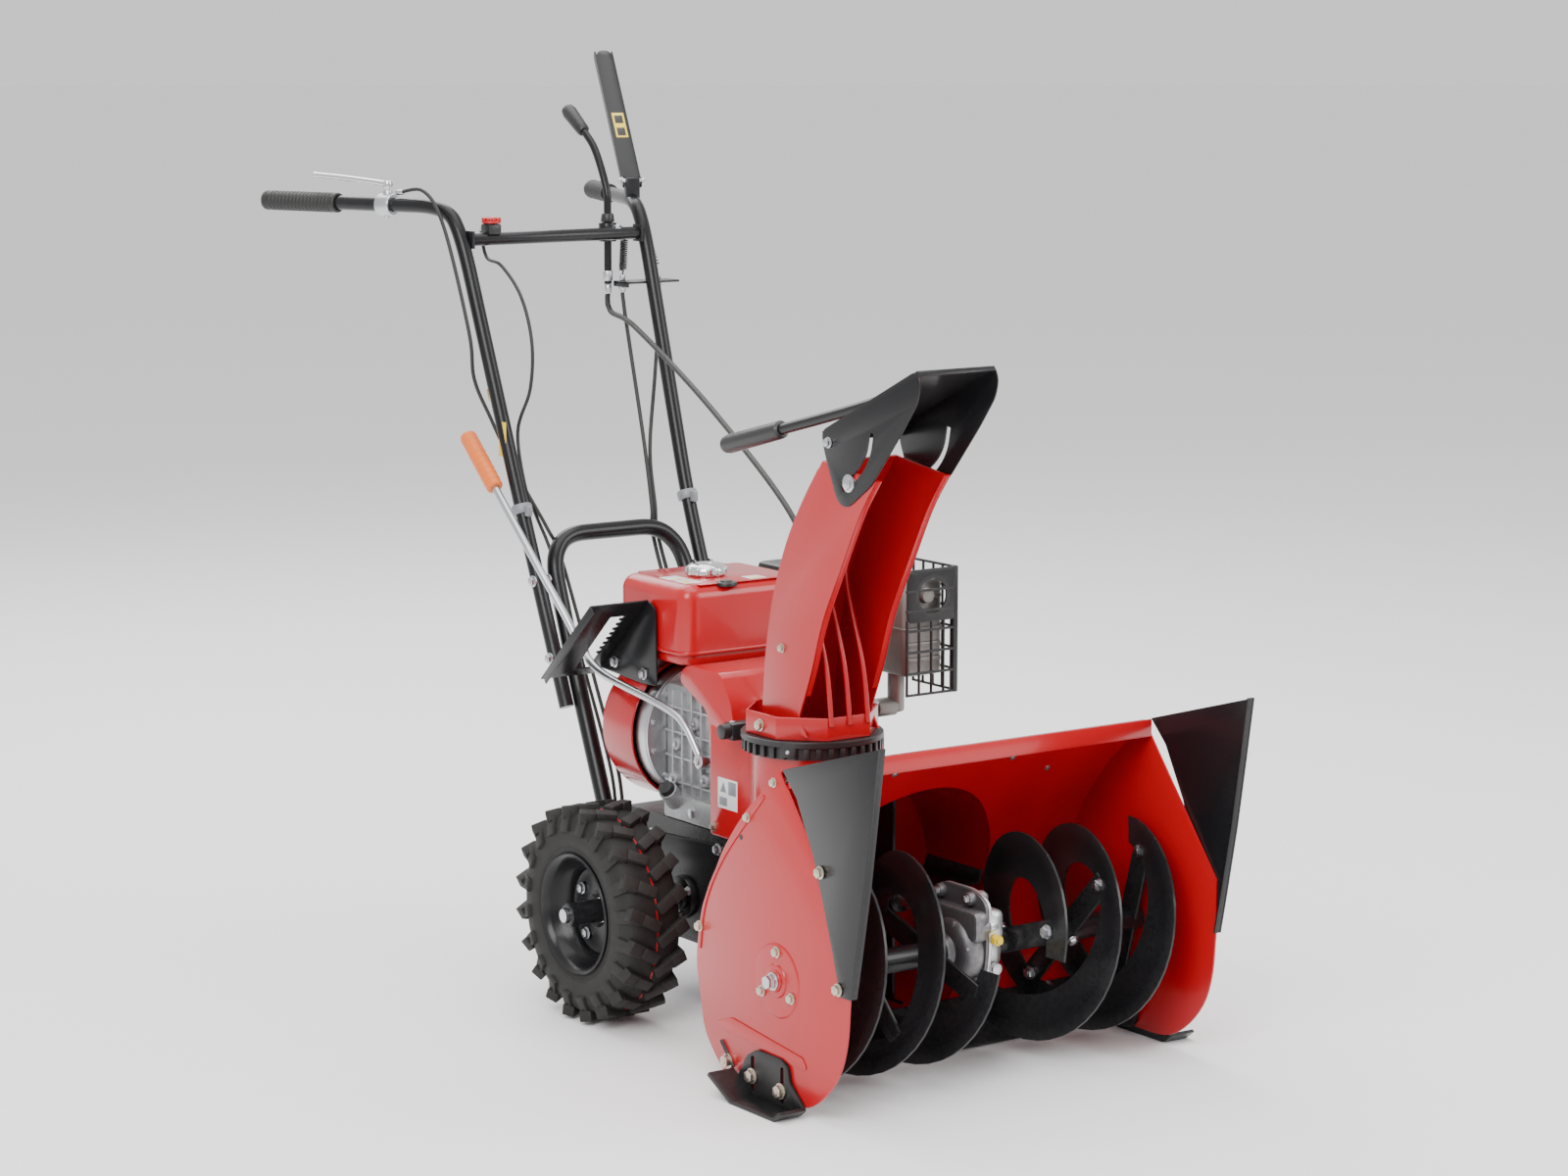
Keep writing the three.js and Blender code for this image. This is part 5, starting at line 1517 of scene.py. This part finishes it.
    def _carburettor(self) -> None:
        """Builds the carburettor with bowl, flange and choke lever."""
        body = Shape().box((114, 490, 442), (158, 528, 490), 3)
        body.rod((138, 510, 488), (138, 510, 521.5), 19.5, 19.5, 36, 1.5)
        body.rod((138, 474.6, 510), (138, 420, 510), 14.5, 14, 32, 1.0)
        body.rod((136, 510, 443), (136, 510, 402), 18.6, 16, 36, 3.0)
        body.use(1).bolt((136, 510, 403), (0, 0, -1), 4, washer=False)
        body.box((110, 500, 470), (118, 526, 473), 1.0)
        body.finish("carburettor_body", "machine_frame", [Look.CAST, Look.ZINC], "cast_metal",
                    ("carburettor",))

    def _muffler(self) -> None:
        """Builds the muffler's pressed shells and its outlet."""
        plan = rounded([(200.5, 316.5), (269.5, 316.5), (269.5, 399.5), (200.5, 399.5)], 12, 5)
        can = Shape().plate("z", plan, 453, 595.5, 8.0)
        can.plate("z", rounded([(197, 313), (271, 313), (271, 402), (197, 402)], 12, 5), 522, 525, 0.8)
        for z in (478, 500, 548, 570):
            can.box((204, 313.8, z - 4), (264, 320, z + 4), 2.5)
        can.rod((231, 384, 400), (197, 384, 400), 13.6, sides=32, bevel=1.0)
        can.rod((234, 383, 456), (234, 383, 392), 12.5, sides=32, bevel=3.0)
        can.rod((235, 318, 572), (235, 306, 572), 12, 10.5, 32, 1.0)
        can.finish("muffler_can", "machine_frame", [Look.STAINED], "zinc_plate", ("muffler",))

    def _guard(self) -> None:
        """Builds the muffler guard: ringed front plate, wires and frame."""
        guard = Shape()
        plate_edge = rounded([(190, 536), (278, 536), (278, 612), (190, 612)], 10)
        front = Shape().plate("y", plate_edge, 296.6, 299.2, 0.5)
        front.cut(Shape().rod((235, 290, 573), (235, 306, 573), 26, sides=48, bevel=0))
        guard.merge(front)
        guard.lathe((235, 298, 573), (0, -1, 0), [(-1.6, 25), (-1.6, 31), (1.6, 31), (1.6, 25)], 48)
        for z in (431, 462, 493, 524, 553, 582, 611):
            guard.tube([(189, 298, z), (272, 298, z), (279.8, 306, z), (279.8, 402, z)], 2.1, 10, 6, False)
        for x in (190.5, 212, 234, 256):
            guard.tube([(x, 298.4, 430), (x, 298.4, 540)], 2.1, 10, 40, False)
        for y in (310, 332, 354, 378, 401.5):
            guard.tube([(279.4, y, 430), (279.4, y, 612)], 2.1, 10, 40, False)
        guard.box((272, 296.4, 428.4), (281.6, 306, 613.6), 2.0)
        guard.finish("muffler_guard_cage", "machine_frame", [Look.SATIN], "black_paint",
                     ("muffler_guard",))

    def _belt_cover(self) -> None:
        """Builds the belt cover with its hood, bolts and picture label."""
        lower = rounded([(227, 262.5), (227, 404), (262, 410), (334, 424), (334, 262.5)], 8)
        cover = Shape().plate("x", lower, -127.6, 99.6, 4.0)
        hood = rounded([(228, 398), (262, 409), (272, 416), (281, 455), (306, 495), (391, 495), (407, 482),
                        (407, 468), (342, 438), (332, 398)], 9)
        cover.plate("x", hood, -127.0, 99.0, 5.0)
        cover.box((-127.9, 226.6, 262.5), (99.8, 231, 270), 1.5)
        cover.use(1)
        for y, z in ((319, 244), (244, 276), (322, 276)):
            if z > 262:
                cover.bolt((-127.6, y, z), (-1, 0, 0), 6)
        cover.bolt((-60, 227, 300), (0, -1, 0), 6)
        cover.bolt((60, 227, 300), (0, -1, 0), 6)
        cover.use(2).box((-128.0, 264, 306), (-127.4, 312, 349), 0.15)
        cover.use(3).box((-128.15, 267, 327), (-127.6, 286, 346), 0.1)
        cover.box((-128.15, 289, 310), (-127.6, 308, 322), 0.1)
        cover.use(3).plate("x", [(291, 329), (306, 329), (298, 344)], -128.15, -127.6, 0.0)
        cover.finish("belt_cover_shell", "machine_frame",
                     [Look.RED, Look.GOLD_ZINC, Look.WHITE, Look.GREY], "housing_red",
                     ("belt_cover",), 28)


# ---------------------------------------------------------------- handle and controls


@dataclass
class Handle:
    """Lower hoop, two upper legs, crossbar and grips."""

    lower: tuple = ((-126, 540, 130), (-126, 592, 215), (-118, 706, 452), (-114, 768, 598), (-82, 784, 632))
    upper: tuple = ((-144, 684, 392), (-147, 800, 672), (-162, 938, 1064), (-166, 966, 1112),
                    (-296, 1300, 1112))
    heading: tuple = (-130.0, 334.0, 0.0)
    grip_end: tuple = (-296.0, 1300.0, 1112.0)

    def along(self, hand: Hand, back: float, rise: float = 0.0) -> Vector:
        """A point on a grip's line.

        Args:
            hand: which grip.
            back: the distance forwards from its rear end.
            rise: the height over its centre line.

        Returns:
            The point.
        """
        point = Vector(self.grip_end) - Vector(self.heading).normalized() * back
        return Vector((point.x * -hand.value, point.y, point.z + rise))

    def build(self) -> None:
        """Builds tubes, crossbar and grips."""
        self._hoop()
        for hand in Hand:
            self._leg(hand)
            self._grip(hand)
        self._crossbar()

    def _rounded_path(self, points: list[Point], radius: float) -> list[Vector]:
        """A path of straight runs joined by bends.

        Args:
            points: the corners.
            radius: how far from a corner its bend starts.

        Returns:
            The path.
        """
        path = [Vector(points[0])]
        for before, here, after in zip(points, points[1:], points[2:]):
            corner = Vector(here)
            back, on = Vector(before) - corner, Vector(after) - corner
            a = corner + back.normalized() * min(radius, back.length * 0.45)
            b = corner + on.normalized() * min(radius, on.length * 0.45)
            for k in range(9):
                t = k / 8
                path.append(a * (1 - t) ** 2 + corner * (2 * t * (1 - t)) + b * t**2)
        path.append(Vector(points[-1]))
        return path

    def _hoop(self) -> None:
        """Builds the lower handle, one bent tube with its fixing bolts."""
        right = list(self.lower)
        left = [(-x, y, z) for x, y, z in reversed(right)]
        path = self._rounded_path([*right, *left], 34)
        hoop = Shape().tube(path, 12.5, 24, fair=False)
        hoop.use(1)
        for s in (-1, 1):
            hoop.bolt((s * 113, 592, 215), (-s, 0, 0), 8)
            for y, z in ((712, 462), (757, 571)):
                hoop.bolt((s * 128, y, z), (s, 0, 0), 8)
        hoop.finish("lower_handle_hoop", "machine_frame", [Look.BLACK, Look.ZINC],
                    "black_paint", ("lower_handle",))

    def _leg(self, hand: Hand) -> None:
        """Builds one upper leg with its bolts, cable clip and fittings.

        Args:
            hand: which leg.
        """
        s = hand.value
        corners = [(-x * s, y, z) for x, y, z in self.upper]
        corners = [corners[0], corners[1], corners[2], (s * 167, 972, 1112), corners[4]]
        leg = Shape().tube(self._rounded_path(corners, 60), 11, 24, fair=False)
        leg.use(1)
        for y, z in ((712, 462), (757, 571)):
            leg.bolt((s * 155, y - 2, z), (s, 0, 0), 8)
        leg.use(2).lathe((s * 147, 800, 672), (s * 3, 116, 280),
                         [(-7, 10.5), (-7, 14.5), (-5, 15.5), (5, 15.5), (7, 14.5), (7, 10.5)], 36)
        leg.box((s * 147 - 4, 776, 664), (s * 147 + 4, 790, 680), 1.5)
        if hand is Hand.RIGHT:
            leg.use(3).box((-158.6, 826, 748), (-157.2, 846, 800), 0.3,)
            leg.use(1)
            self._lever_clamp(leg)
        else:
            self._lever_seat(leg)
        looks = [Look.BLACK, Look.ZINC, Look.GREY, Look.YELLOW]
        leg.finish(f"upper_handle_{hand.word}_tube", "machine_frame", looks, "black_paint",
                   (f"upper_handle_{hand.word}",))

    def _lever_clamp(self, leg: Shape) -> None:
        """Adds the hand lever's clamp and post.

        Args:
            leg: the right leg.
        """
        centre = self.along(Hand.RIGHT, 236)
        line = Vector(self.heading)
        clamp = [(-13, 10.8), (-13, 15.5), (-11, 16.6), (11, 16.6), (13, 15.5), (13, 10.8)]
        leg.lathe(centre, line, clamp, 40)
        post = self.along(Hand.RIGHT, 238, 8)
        leg.rod(post, post + Vector((0, 0, 14)), 8, 7, 24, 1.0)
        side = Vector((0.93, 0.36, 0))
        leg.bolt(centre + side * 14 + Vector((0, 0, 8)), side, 5)
        leg.rod(centre - Vector((0, 0, 12)), centre - Vector((0, 0, 21)), 5, 4, 20, 1.0)

    def _lever_seat(self, leg: Shape) -> None:
        """Adds the clutch lever's lug and the cable bracket.

        Args:
            leg: the left leg.
        """
        pivot = self.along(Hand.LEFT, 320, 28)
        turn = Matrix.Translation(pivot) @ Matrix.Rotation(-math.atan2(130, 334), 4, "Z")
        leg.use(0).box((-11, -9, -28), (11, 9, 5), 1.5, turn)
        across = turn.to_3x3() @ Vector((1, 0, 0))
        leg.use(1).rod(pivot - across * 17.6, pivot + across * 17.6, 3.9, sides=24, bevel=0.6)
        leg.use(0).box((116.4, 916.4, 987.2), (211.6, 957.6, 990.8), 1.2)
        leg.box((116.4, 916.4, 982), (119, 957.6, 990.6), 0.8)
        leg.use(1)
        for x in (125, 190):
            leg.rod((x, 945, 978), (x, 945, 987), 6.5, sides=6, bevel=0.6)
            leg.rod((x, 945, 991), (x, 945, 1000), 4.5, sides=20, bevel=0.6)

    def _grip(self, hand: Hand) -> None:
        """Builds one ribbed grip with its end bead.

        Args:
            hand: which grip.
        """
        start = self.along(hand, 141)
        heading = Vector((self.heading[0] * -hand.value, self.heading[1], 0))
        profile = [(0, 11.4), (0, 14.4), (2, 15.3), (8, 15.3), (9, 14.4)]
        count = 17
        for k in range(count):
            d = 12 + k * 7.2
            profile += [(d, 14.2), (d + 1.4, 15.2), (d + 4.4, 15.2), (d + 5.8, 14.2)]
        profile += [(138, 14.6), (140, 15.4), (144.6, 14.6), (145.8, 11), (145.8, 0), (143, 0), (143, 11.4)]
        grip = Shape().lathe(start, heading, profile, 40)
        grip.finish(f"hand_grip_{hand.word}_ribbed", "machine_frame", [Look.RUBBER],
                    "black_rubber", (f"hand_grip_{hand.word}",), 24)

    def _crossbar(self) -> None:
        """Builds the crossbar with the crank's bushing and the switch's base."""
        bar = Shape().rod((-150, 938, 1064), (150, 938, 1064), 9.8, sides=32, bevel=0.8)
        for s in (-1, 1):
            bar.box((s * 149.8 - 2, 926, 1051), (s * 149.8 + 2, 950, 1077), 0.0)
        bar.box((102, 937, 1055), (122, 965, 1075), 2.0)
        bushing = Shape().rod((112, 966, 1050.5), (112, 966, 1079.5), 13.8, sides=40, bevel=1.5)
        bushing.cut(Shape().rod((112, 966, 1040), (112, 966, 1090), 6.4, sides=32, bevel=0))
        bar.merge(bushing).use(1)
        bar.box((-123.5, 926.5, 1070.5), (-100.5, 951.5, 1086.6), 3.0)
        bar.rod((-112, 951, 1078), (-112, 956, 1078), 4, bevel=0.8)
        bar.use(2).bolt((112, 938, 1072), (0, 0, 1), 6)
        bar.finish("handle_crossbar_tube", "machine_frame", [Look.BLACK, Look.PLASTIC, Look.ZINC],
                   "black_paint", ("handle_crossbar",))


@dataclass
class Controls:
    """Levers, gate, knobs and cables on the handle."""

    handle: Handle
    gear_rod: tuple = ((-117, 368, 360), (-122, 403, 406), (-128, 449, 427), (-145, 579, 456),
                       (-152, 626, 486), (-161, 656, 531), (-178, 738, 628.5), (-180.5, 844, 725.5))
    lever_rise: float = math.radians(41)

    def build(self) -> None:
        """Builds every control."""
        self._gate()
        self._gear_lever()
        self._clutch_lever()
        self._hand_lever()
        self._switch()
        self._chute_crank()
        self._cables()

    def _gate(self) -> None:
        """Builds the gear gate: bent plate with a notched slot."""
        gate = Shape()
        side_edge = rounded([(509, 571), (489, 562), (485, 450), (520, 448), (638, 456)], 8)
        gate.plate("x", side_edge, -116, -113.4, 0.5)
        face = Shape().plate("x", stripe([(645.5, 448.1), (510, 571.5)], 2.6), -211.6, -113.6, 0.4)
        heading = Vector((0, 510 - 638.5, 571.5 - 454.5)).normalized()
        middle = Vector((-150, 574, 513))
        span = Shape()
        along = heading.to_track_quat("Y", "Z").to_matrix().to_4x4()
        turn = Matrix.Translation(middle - heading * 13.5) @ along
        span.box((-13, -67, -12), (13, 67, 12), 0.0, turn)
        face.cut(span)
        gate.merge(face)
        for k in range(-4, 5):
            centre = middle + heading * (6 + k * 12)
            tooth = Matrix.Translation(centre) @ along
            gate.box((-15, -2.2, -1.2), (-8.5, 2.2, 1.2), 0.3, tooth)
        gate.plate("x", [(508.5, 570), (638.5, 451.5), (632.5, 441), (501, 560)], -211.8, -209.6, 0.4)
        gate.use(1)
        for y, z in ((594, 464), (517, 457)):
            gate.bolt((-116, y, z + 6), (-1, 0, 0), 8)
        gate.rod((-113.6, 530, 462), (-106.5, 530, 462), 5, bevel=0.3)
        gate.rod((-113.6, 596, 462), (-106.5, 596, 462), 5, bevel=0.3)
        gate.finish("gear_gate_plate", "machine_frame", [Look.BLACK, Look.ZINC],
                    "black_paint", ("gear_gate",))

    def _gear_lever(self) -> None:
        """Builds the zinc-plated gear lever and its orange grip."""
        rod = Shape().tube(list(self.gear_rod), 5.8, 20, 12)
        rod.rod((-123.6, 368, 360), (-106.4, 368, 360), 10.8, sides=32, bevel=1.0)
        rod.bolt((-123.4, 368, 360), (-1, 0, 0), 6, washer=False)
        rod.finish("gear_lever_rod", "gear_selector", [Look.ZINC], "zinc_plate",
                   ("gear_lever",))
        start, end = Vector((-179.9, 821, 704.4)), Vector((-181, 899.5, 776.2))
        length = (end - start).length
        grip = Shape().lathe(start, end - start, [
            (0, 6.2), (0, 11), (2, 12.6), (length * 0.5, 12.8), (length - 6, 12.9), (length - 1, 11),
            (length, 7), (length, 0), (length - 2, 0), (length - 2, 6.2)], 36)
        for k in range(6):
            spot = start + (end - start) * (0.12 + 0.1 * k)
            grip.lathe(spot, end - start, [(-1.2, 12.4), (-0.8, 13.1), (0.8, 13.1), (1.2, 12.4)], 36)
        grip.finish("gear_lever_orange_grip", "gear_selector", [Look.ORANGE],
                    "orange_plastic", ("gear_lever_grip",))

    def _clutch_lever(self) -> None:
        """Builds the pressed clutch lever with its label, heel and spring."""
        pivot = self.handle.along(Hand.LEFT, 320, 28)
        turn = (Matrix.Translation(pivot) @ Matrix.Rotation(-math.atan2(130, 334), 4, "Z")
                @ Matrix.Rotation(self.lever_rise, 4, "X"))
        lever = Shape()
        top = rounded([(-13.5, 4), (13.5, 4), (14.8, 60), (14.8, 284), (8, 299.5), (-8, 299.5),
                       (-14.8, 284), (-14.8, 60)], 9)
        lever.plate("z", top, -0.2, 2.4, 0.8)
        for s in (-1, 1):
            cheek = rounded([(-8, -8), (8, -10), (296, -10), (298, 0), (298, 2), (-6, 2), (-10, -3)], 6)
            low, high = sorted((s * 12.4, s * 14.9))
            lever.plate("x", cheek, low, high, 0.5)
        bmesh.ops.transform(lever.mesh, matrix=turn, verts=lever.mesh.verts)
        lever.use(1).box((-9.5, 96, 2.3), (9.5, 152, 2.7), 0.1, turn)
        lever.use(2).box((-6.5, 100, 2.5), (6.5, 118, 2.9), 0.1, turn)
        lever.box((-6.5, 128, 2.5), (6.5, 146, 2.9), 0.1, turn)
        lever.use(3)
        across = turn.to_3x3() @ Vector((1, 0, 0))
        lever.bolt(turn @ Vector((14.9, 0, 0)), across, 6)
        lever.bolt(turn @ Vector((-14.9, 0, 0)), -across, 6)
        lever.finish("clutch_lever_pressing", "clutch_bar",
                     [Look.BLACK, Look.YELLOW, Look.SATIN, Look.ZINC], "black_paint",
                     ("clutch_lever",))
        self._springs()

    def _springs(self) -> None:
        """Builds the coil springs over the cable bracket."""
        springs = Shape()
        for foot, head in (((190, 945, 1000), (178, 972, 1084)), ((125, 945, 1000), (132, 950, 1060))):
            low, high = Vector(foot), Vector(head)
            line = high - low
            across = line.orthogonal().normalized()
            beside = line.normalized().cross(across)
            coil = []
            turns, steps = 14, 8
            for k in range(turns * steps + 1):
                t = math.tau * k / steps
                spot = low + line * (0.12 + 0.76 * k / (turns * steps))
                coil.append(spot + (across * math.cos(t) + beside * math.sin(t)) * 5.4)
            springs.tube([low, *coil, high], 1.3, 6, fair=False)
        springs.finish("clutch_springs", "machine_frame", [Look.SATIN], "black_paint")

    def _hand_lever(self) -> None:
        """Builds the plated hand lever over the right grip."""
        along = self.handle.along
        path = [along(Hand.RIGHT, 244, 30), along(Hand.RIGHT, 214, 33), along(Hand.RIGHT, 150, 38),
                along(Hand.RIGHT, 93, 41)]
        lever = Shape().tube(path, 4.6, 18, 10)
        lever.rod(along(Hand.RIGHT, 238, 24.5), along(Hand.RIGHT, 238, 36), 7, 6.5, 28, 1.0)
        lever.rod(along(Hand.RIGHT, 98, 40.7), along(Hand.RIGHT, 92, 41), 5.8, 5.0, 24, 2.0)
        lever.finish("hand_lever_plated", "hand_control", [Look.CHROME], "chrome_plate",
                     ("hand_lever",))

    def _switch(self) -> None:
        """Builds the red stop switch knob."""
        knob = Shape().rod((-112, 938, 1087.4), (-112, 938, 1091), 14.6, sides=40, bevel=1.0)
        for x, y in ring_points(-112, 938, 12.2, 10):
            knob.rod((x, y, 1090), (x, y, 1096), 2.6, 2.2, 12, 0.6)
        knob.rod((-112, 938, 1090), (-112, 938, 1096), 11.5, 11, 32, 0.8)
        knob.box((-115, 927, 1093), (-109, 949, 1096.8), 1.5)
        knob.finish("stop_switch_red_knob", "switch_knob", [Look.RED_PLASTIC], "red_plastic",
                    ("stop_switch_knob",))

    def _chute_crank(self) -> None:
        """Builds the chute crank with its moulded grip."""
        bent = [(112, 966, 985.3), (112, 966, 1100), (112, 968, 1128), (112, 985, 1165),
                (112, 1006, 1196), (112, 1036, 1220)]
        crank = Shape().tube(bent, 5.8, 20, 10)
        crank.use(1)
        start, end = Vector((112, 1032, 1216.5)), Vector((112, 1081.5, 1250.6))
        length = (end - start).length
        crank.lathe(start, end - start, [(0, 0), (0, 8), (3, 10), (12, 10.4), (length - 10, 11.8),
                                         (length - 2, 10), (length, 5), (length, 0)], 36)
        crank.rod((112, 966, 1080.5), (112, 966, 1094), 11, 9, 32, 2.0)
        crank.use(2).rod((112, 966, 990), (112, 966, 1006), 8, 8, 28, 1.0)
        crank.finish("chute_crank_bent_rod", "chute_crank_rod", [Look.BLACK, Look.PLASTIC, Look.ZINC],
                     "zinc_plate", ("chute_crank",))

    def _cables(self) -> None:
        """Builds the cables along their routes, with their end fittings."""
        along = self.handle.along

        def tail(x: float) -> list[Point]:
            """The last run into the chassis.

            Args:
                x: the cable's place across the machine.

            Returns:
                Its points.
            """
            return [(x, 640, 300), (x, 622, 225), (x, 598, 207)]

        routes = {
            "auger_clutch_cable": (3.0, [(125, 945, 986), (122, 936, 950), (100, 850, 760), (90, 812, 660),
                                         (88, 800, 600), (84, 700, 420), *tail(84)]),
            "drive_clutch_cable": (3.0, [(190, 945, 986), (188, 938, 950), (154, 899, 850),
                                         (112, 850, 740), (98, 815, 660), (97, 800, 600),
                                         (94, 700, 420), *tail(94)]),
            "switch_cable": (2.6, [(-112, 953, 1081), (-112, 968, 1076), (-114, 950, 1036),
                                   (-118, 900, 1026), (-124, 835, 985), (-126, 802, 920),
                                   (-127, 806, 850), (-130, 838, 783), (-131, 815, 700),
                                   (-108, 822, 655), (-98, 790, 590), (-96, 700, 420), *tail(-96)]),
            "hand_lever_cable": (2.8, [along(Hand.RIGHT, 256, 19), (-190, 1002, 1134), (-186, 950, 1080),
                                       (-180, 892, 930), (-172, 892, 860), (-152, 878, 800),
                                       (-128, 846, 720), (-100, 806, 640), (-84, 790, 590),
                                       (-84, 700, 420), *tail(-84)]),
            "chute_cable": (4.2, [(112, 966, 984), (112, 961, 945), (95, 860, 925), (40, 569, 827),
                                  (-30, 267, 708), (-42, 222, 620), (-46, 224, 520), (-52, 240, 450),
                                  (-62, 249, 428), (-77.2, 249, 426)]),
        }
        for name, (radius, route) in routes.items():
            cable = Shape().tube(route, radius, 12, 9)
            start, onward = Vector(route[0]), Vector(route[1])
            cable.use(1).rod(start, start + (onward - start).normalized() * 14, radius + 1.6,
                             radius + 1.2, 20, 0.6)
            if name == "hand_lever_cable":
                low, high = Vector((-160, 867, 847)), Vector((-160, 862, 829))
                cable.use(2).rod(low, high, 4.4, sides=6, bevel=0.4)
            cable.finish(f"{name}_sleeve", "machine_frame", [Look.RUBBER, Look.ZINC, Look.BRASS],
                         "black_rubber", (name,), 60)


# ---------------------------------------------------------------- studio


@dataclass
class Studio:
    """Pale floor, soft lights and the camera."""

    camera_at: Point = (-3.05363, -4.51986, 1.42574)
    pitch: float = 81.18
    heading: float = -35.05
    lens: float = 87.766
    lamps: tuple = (
        ((-3.2, -2.6, 3.2), 165.0, 2.6),
        ((2.8, -3.4, 2.6), 90.0, 2.4),
        ((0.4, 2.8, 3.4), 120.0, 3.0),
        ((0.0, -0.4, 4.6), 110.0, 3.6),
    )

    def build(self) -> None:
        """Sets the stage."""
        self._floor()
        self._world()
        for k, (place, power, size) in enumerate(self.lamps):
            self._lamp(f"softbox_{k}", Vector(place), power, size)
        self._camera()

    def _floor(self) -> None:
        """Lays a wide pale floor with a soft sweep of tone."""
        plan = bmesh.new()
        bmesh.ops.create_grid(plan, x_segments=8, y_segments=8, size=240)
        data = bpy.data.meshes.new("floor")
        plan.to_mesh(data)
        plan.free()
        floor = bpy.data.objects.new("floor", data)
        bpy.context.scene.collection.objects.link(floor)
        material = bpy.data.materials.new("pale_floor")
        material.use_nodes = True
        tree = material.node_tree
        shader = next(n for n in tree.nodes if n.type == "BSDF_PRINCIPLED")
        shader.inputs["Roughness"].default_value = 0.9
        shader.inputs["Specular IOR Level"].default_value = 0.1
        noise = tree.nodes.new("ShaderNodeTexNoise")
        noise.inputs["Scale"].default_value = 0.6
        ramp = tree.nodes.new("ShaderNodeValToRGB")
        ramp.color_ramp.elements[0].color = (0.955, 0.955, 0.955, 1)
        ramp.color_ramp.elements[1].color = (0.975, 0.975, 0.975, 1)
        place = tree.nodes.new("ShaderNodeTexCoord")
        tree.links.new(place.outputs["Object"], noise.inputs["Vector"])
        tree.links.new(noise.outputs["Fac"], ramp.inputs["Fac"])
        tree.links.new(ramp.outputs["Color"], shader.inputs["Base Color"])
        data.materials.append(material)

    def _world(self) -> None:
        """Fills the surroundings with plain pale light."""
        world = bpy.data.worlds.new("studio")
        world.use_nodes = True
        back = world.node_tree.nodes["Background"]
        back.inputs["Color"].default_value = (1.0, 1.0, 1.0, 1)
        back.inputs["Strength"].default_value = 0.95
        bpy.context.scene.world = world

    def _lamp(self, name: str, place: Vector, power: float, size: float) -> None:
        """Hangs one softbox, aimed at the machine.

        Args:
            name: the lamp's name.
            place: where it hangs, in metres.
            power: its power in watts.
            size: its side in metres.
        """
        data = bpy.data.lights.new(name, "AREA")
        data.shape = "SQUARE"
        data.size = size
        data.energy = power
        lamp = bpy.data.objects.new(name, data)
        bpy.context.scene.collection.objects.link(lamp)
        lamp.location = place
        lamp.rotation_euler = (Vector((0, -0.1, 0.5)) - place).to_track_quat("-Z", "Y").to_euler()

    def _camera(self) -> None:
        """Places the camera."""
        data = bpy.data.cameras.new("camera")
        data.sensor_width = 36.0
        data.lens = self.lens
        data.clip_end = 60.0
        camera = bpy.data.objects.new("camera", data)
        bpy.context.scene.collection.objects.link(camera)
        camera.location = self.camera_at
        camera.rotation_euler = (math.radians(self.pitch), 0, math.radians(self.heading))
        bpy.context.scene.camera = camera


def main() -> None:
    """Builds the machine and its studio in order."""
    logging.basicConfig(level=logging.INFO, format="%(message)s")
    Shape.paints = Paintbox()
    handle = Handle()
    parts = [AugerHousing(), Auger(), Impeller(), Wheel(Hand.RIGHT), Wheel(Hand.LEFT), Chassis(),
             Engine(), Chute(), handle, Controls(handle), Studio()]
    for part in parts:
        LOG.info("building %s", type(part).__name__)
        part.build()


if __name__ == "__main__":
    main()
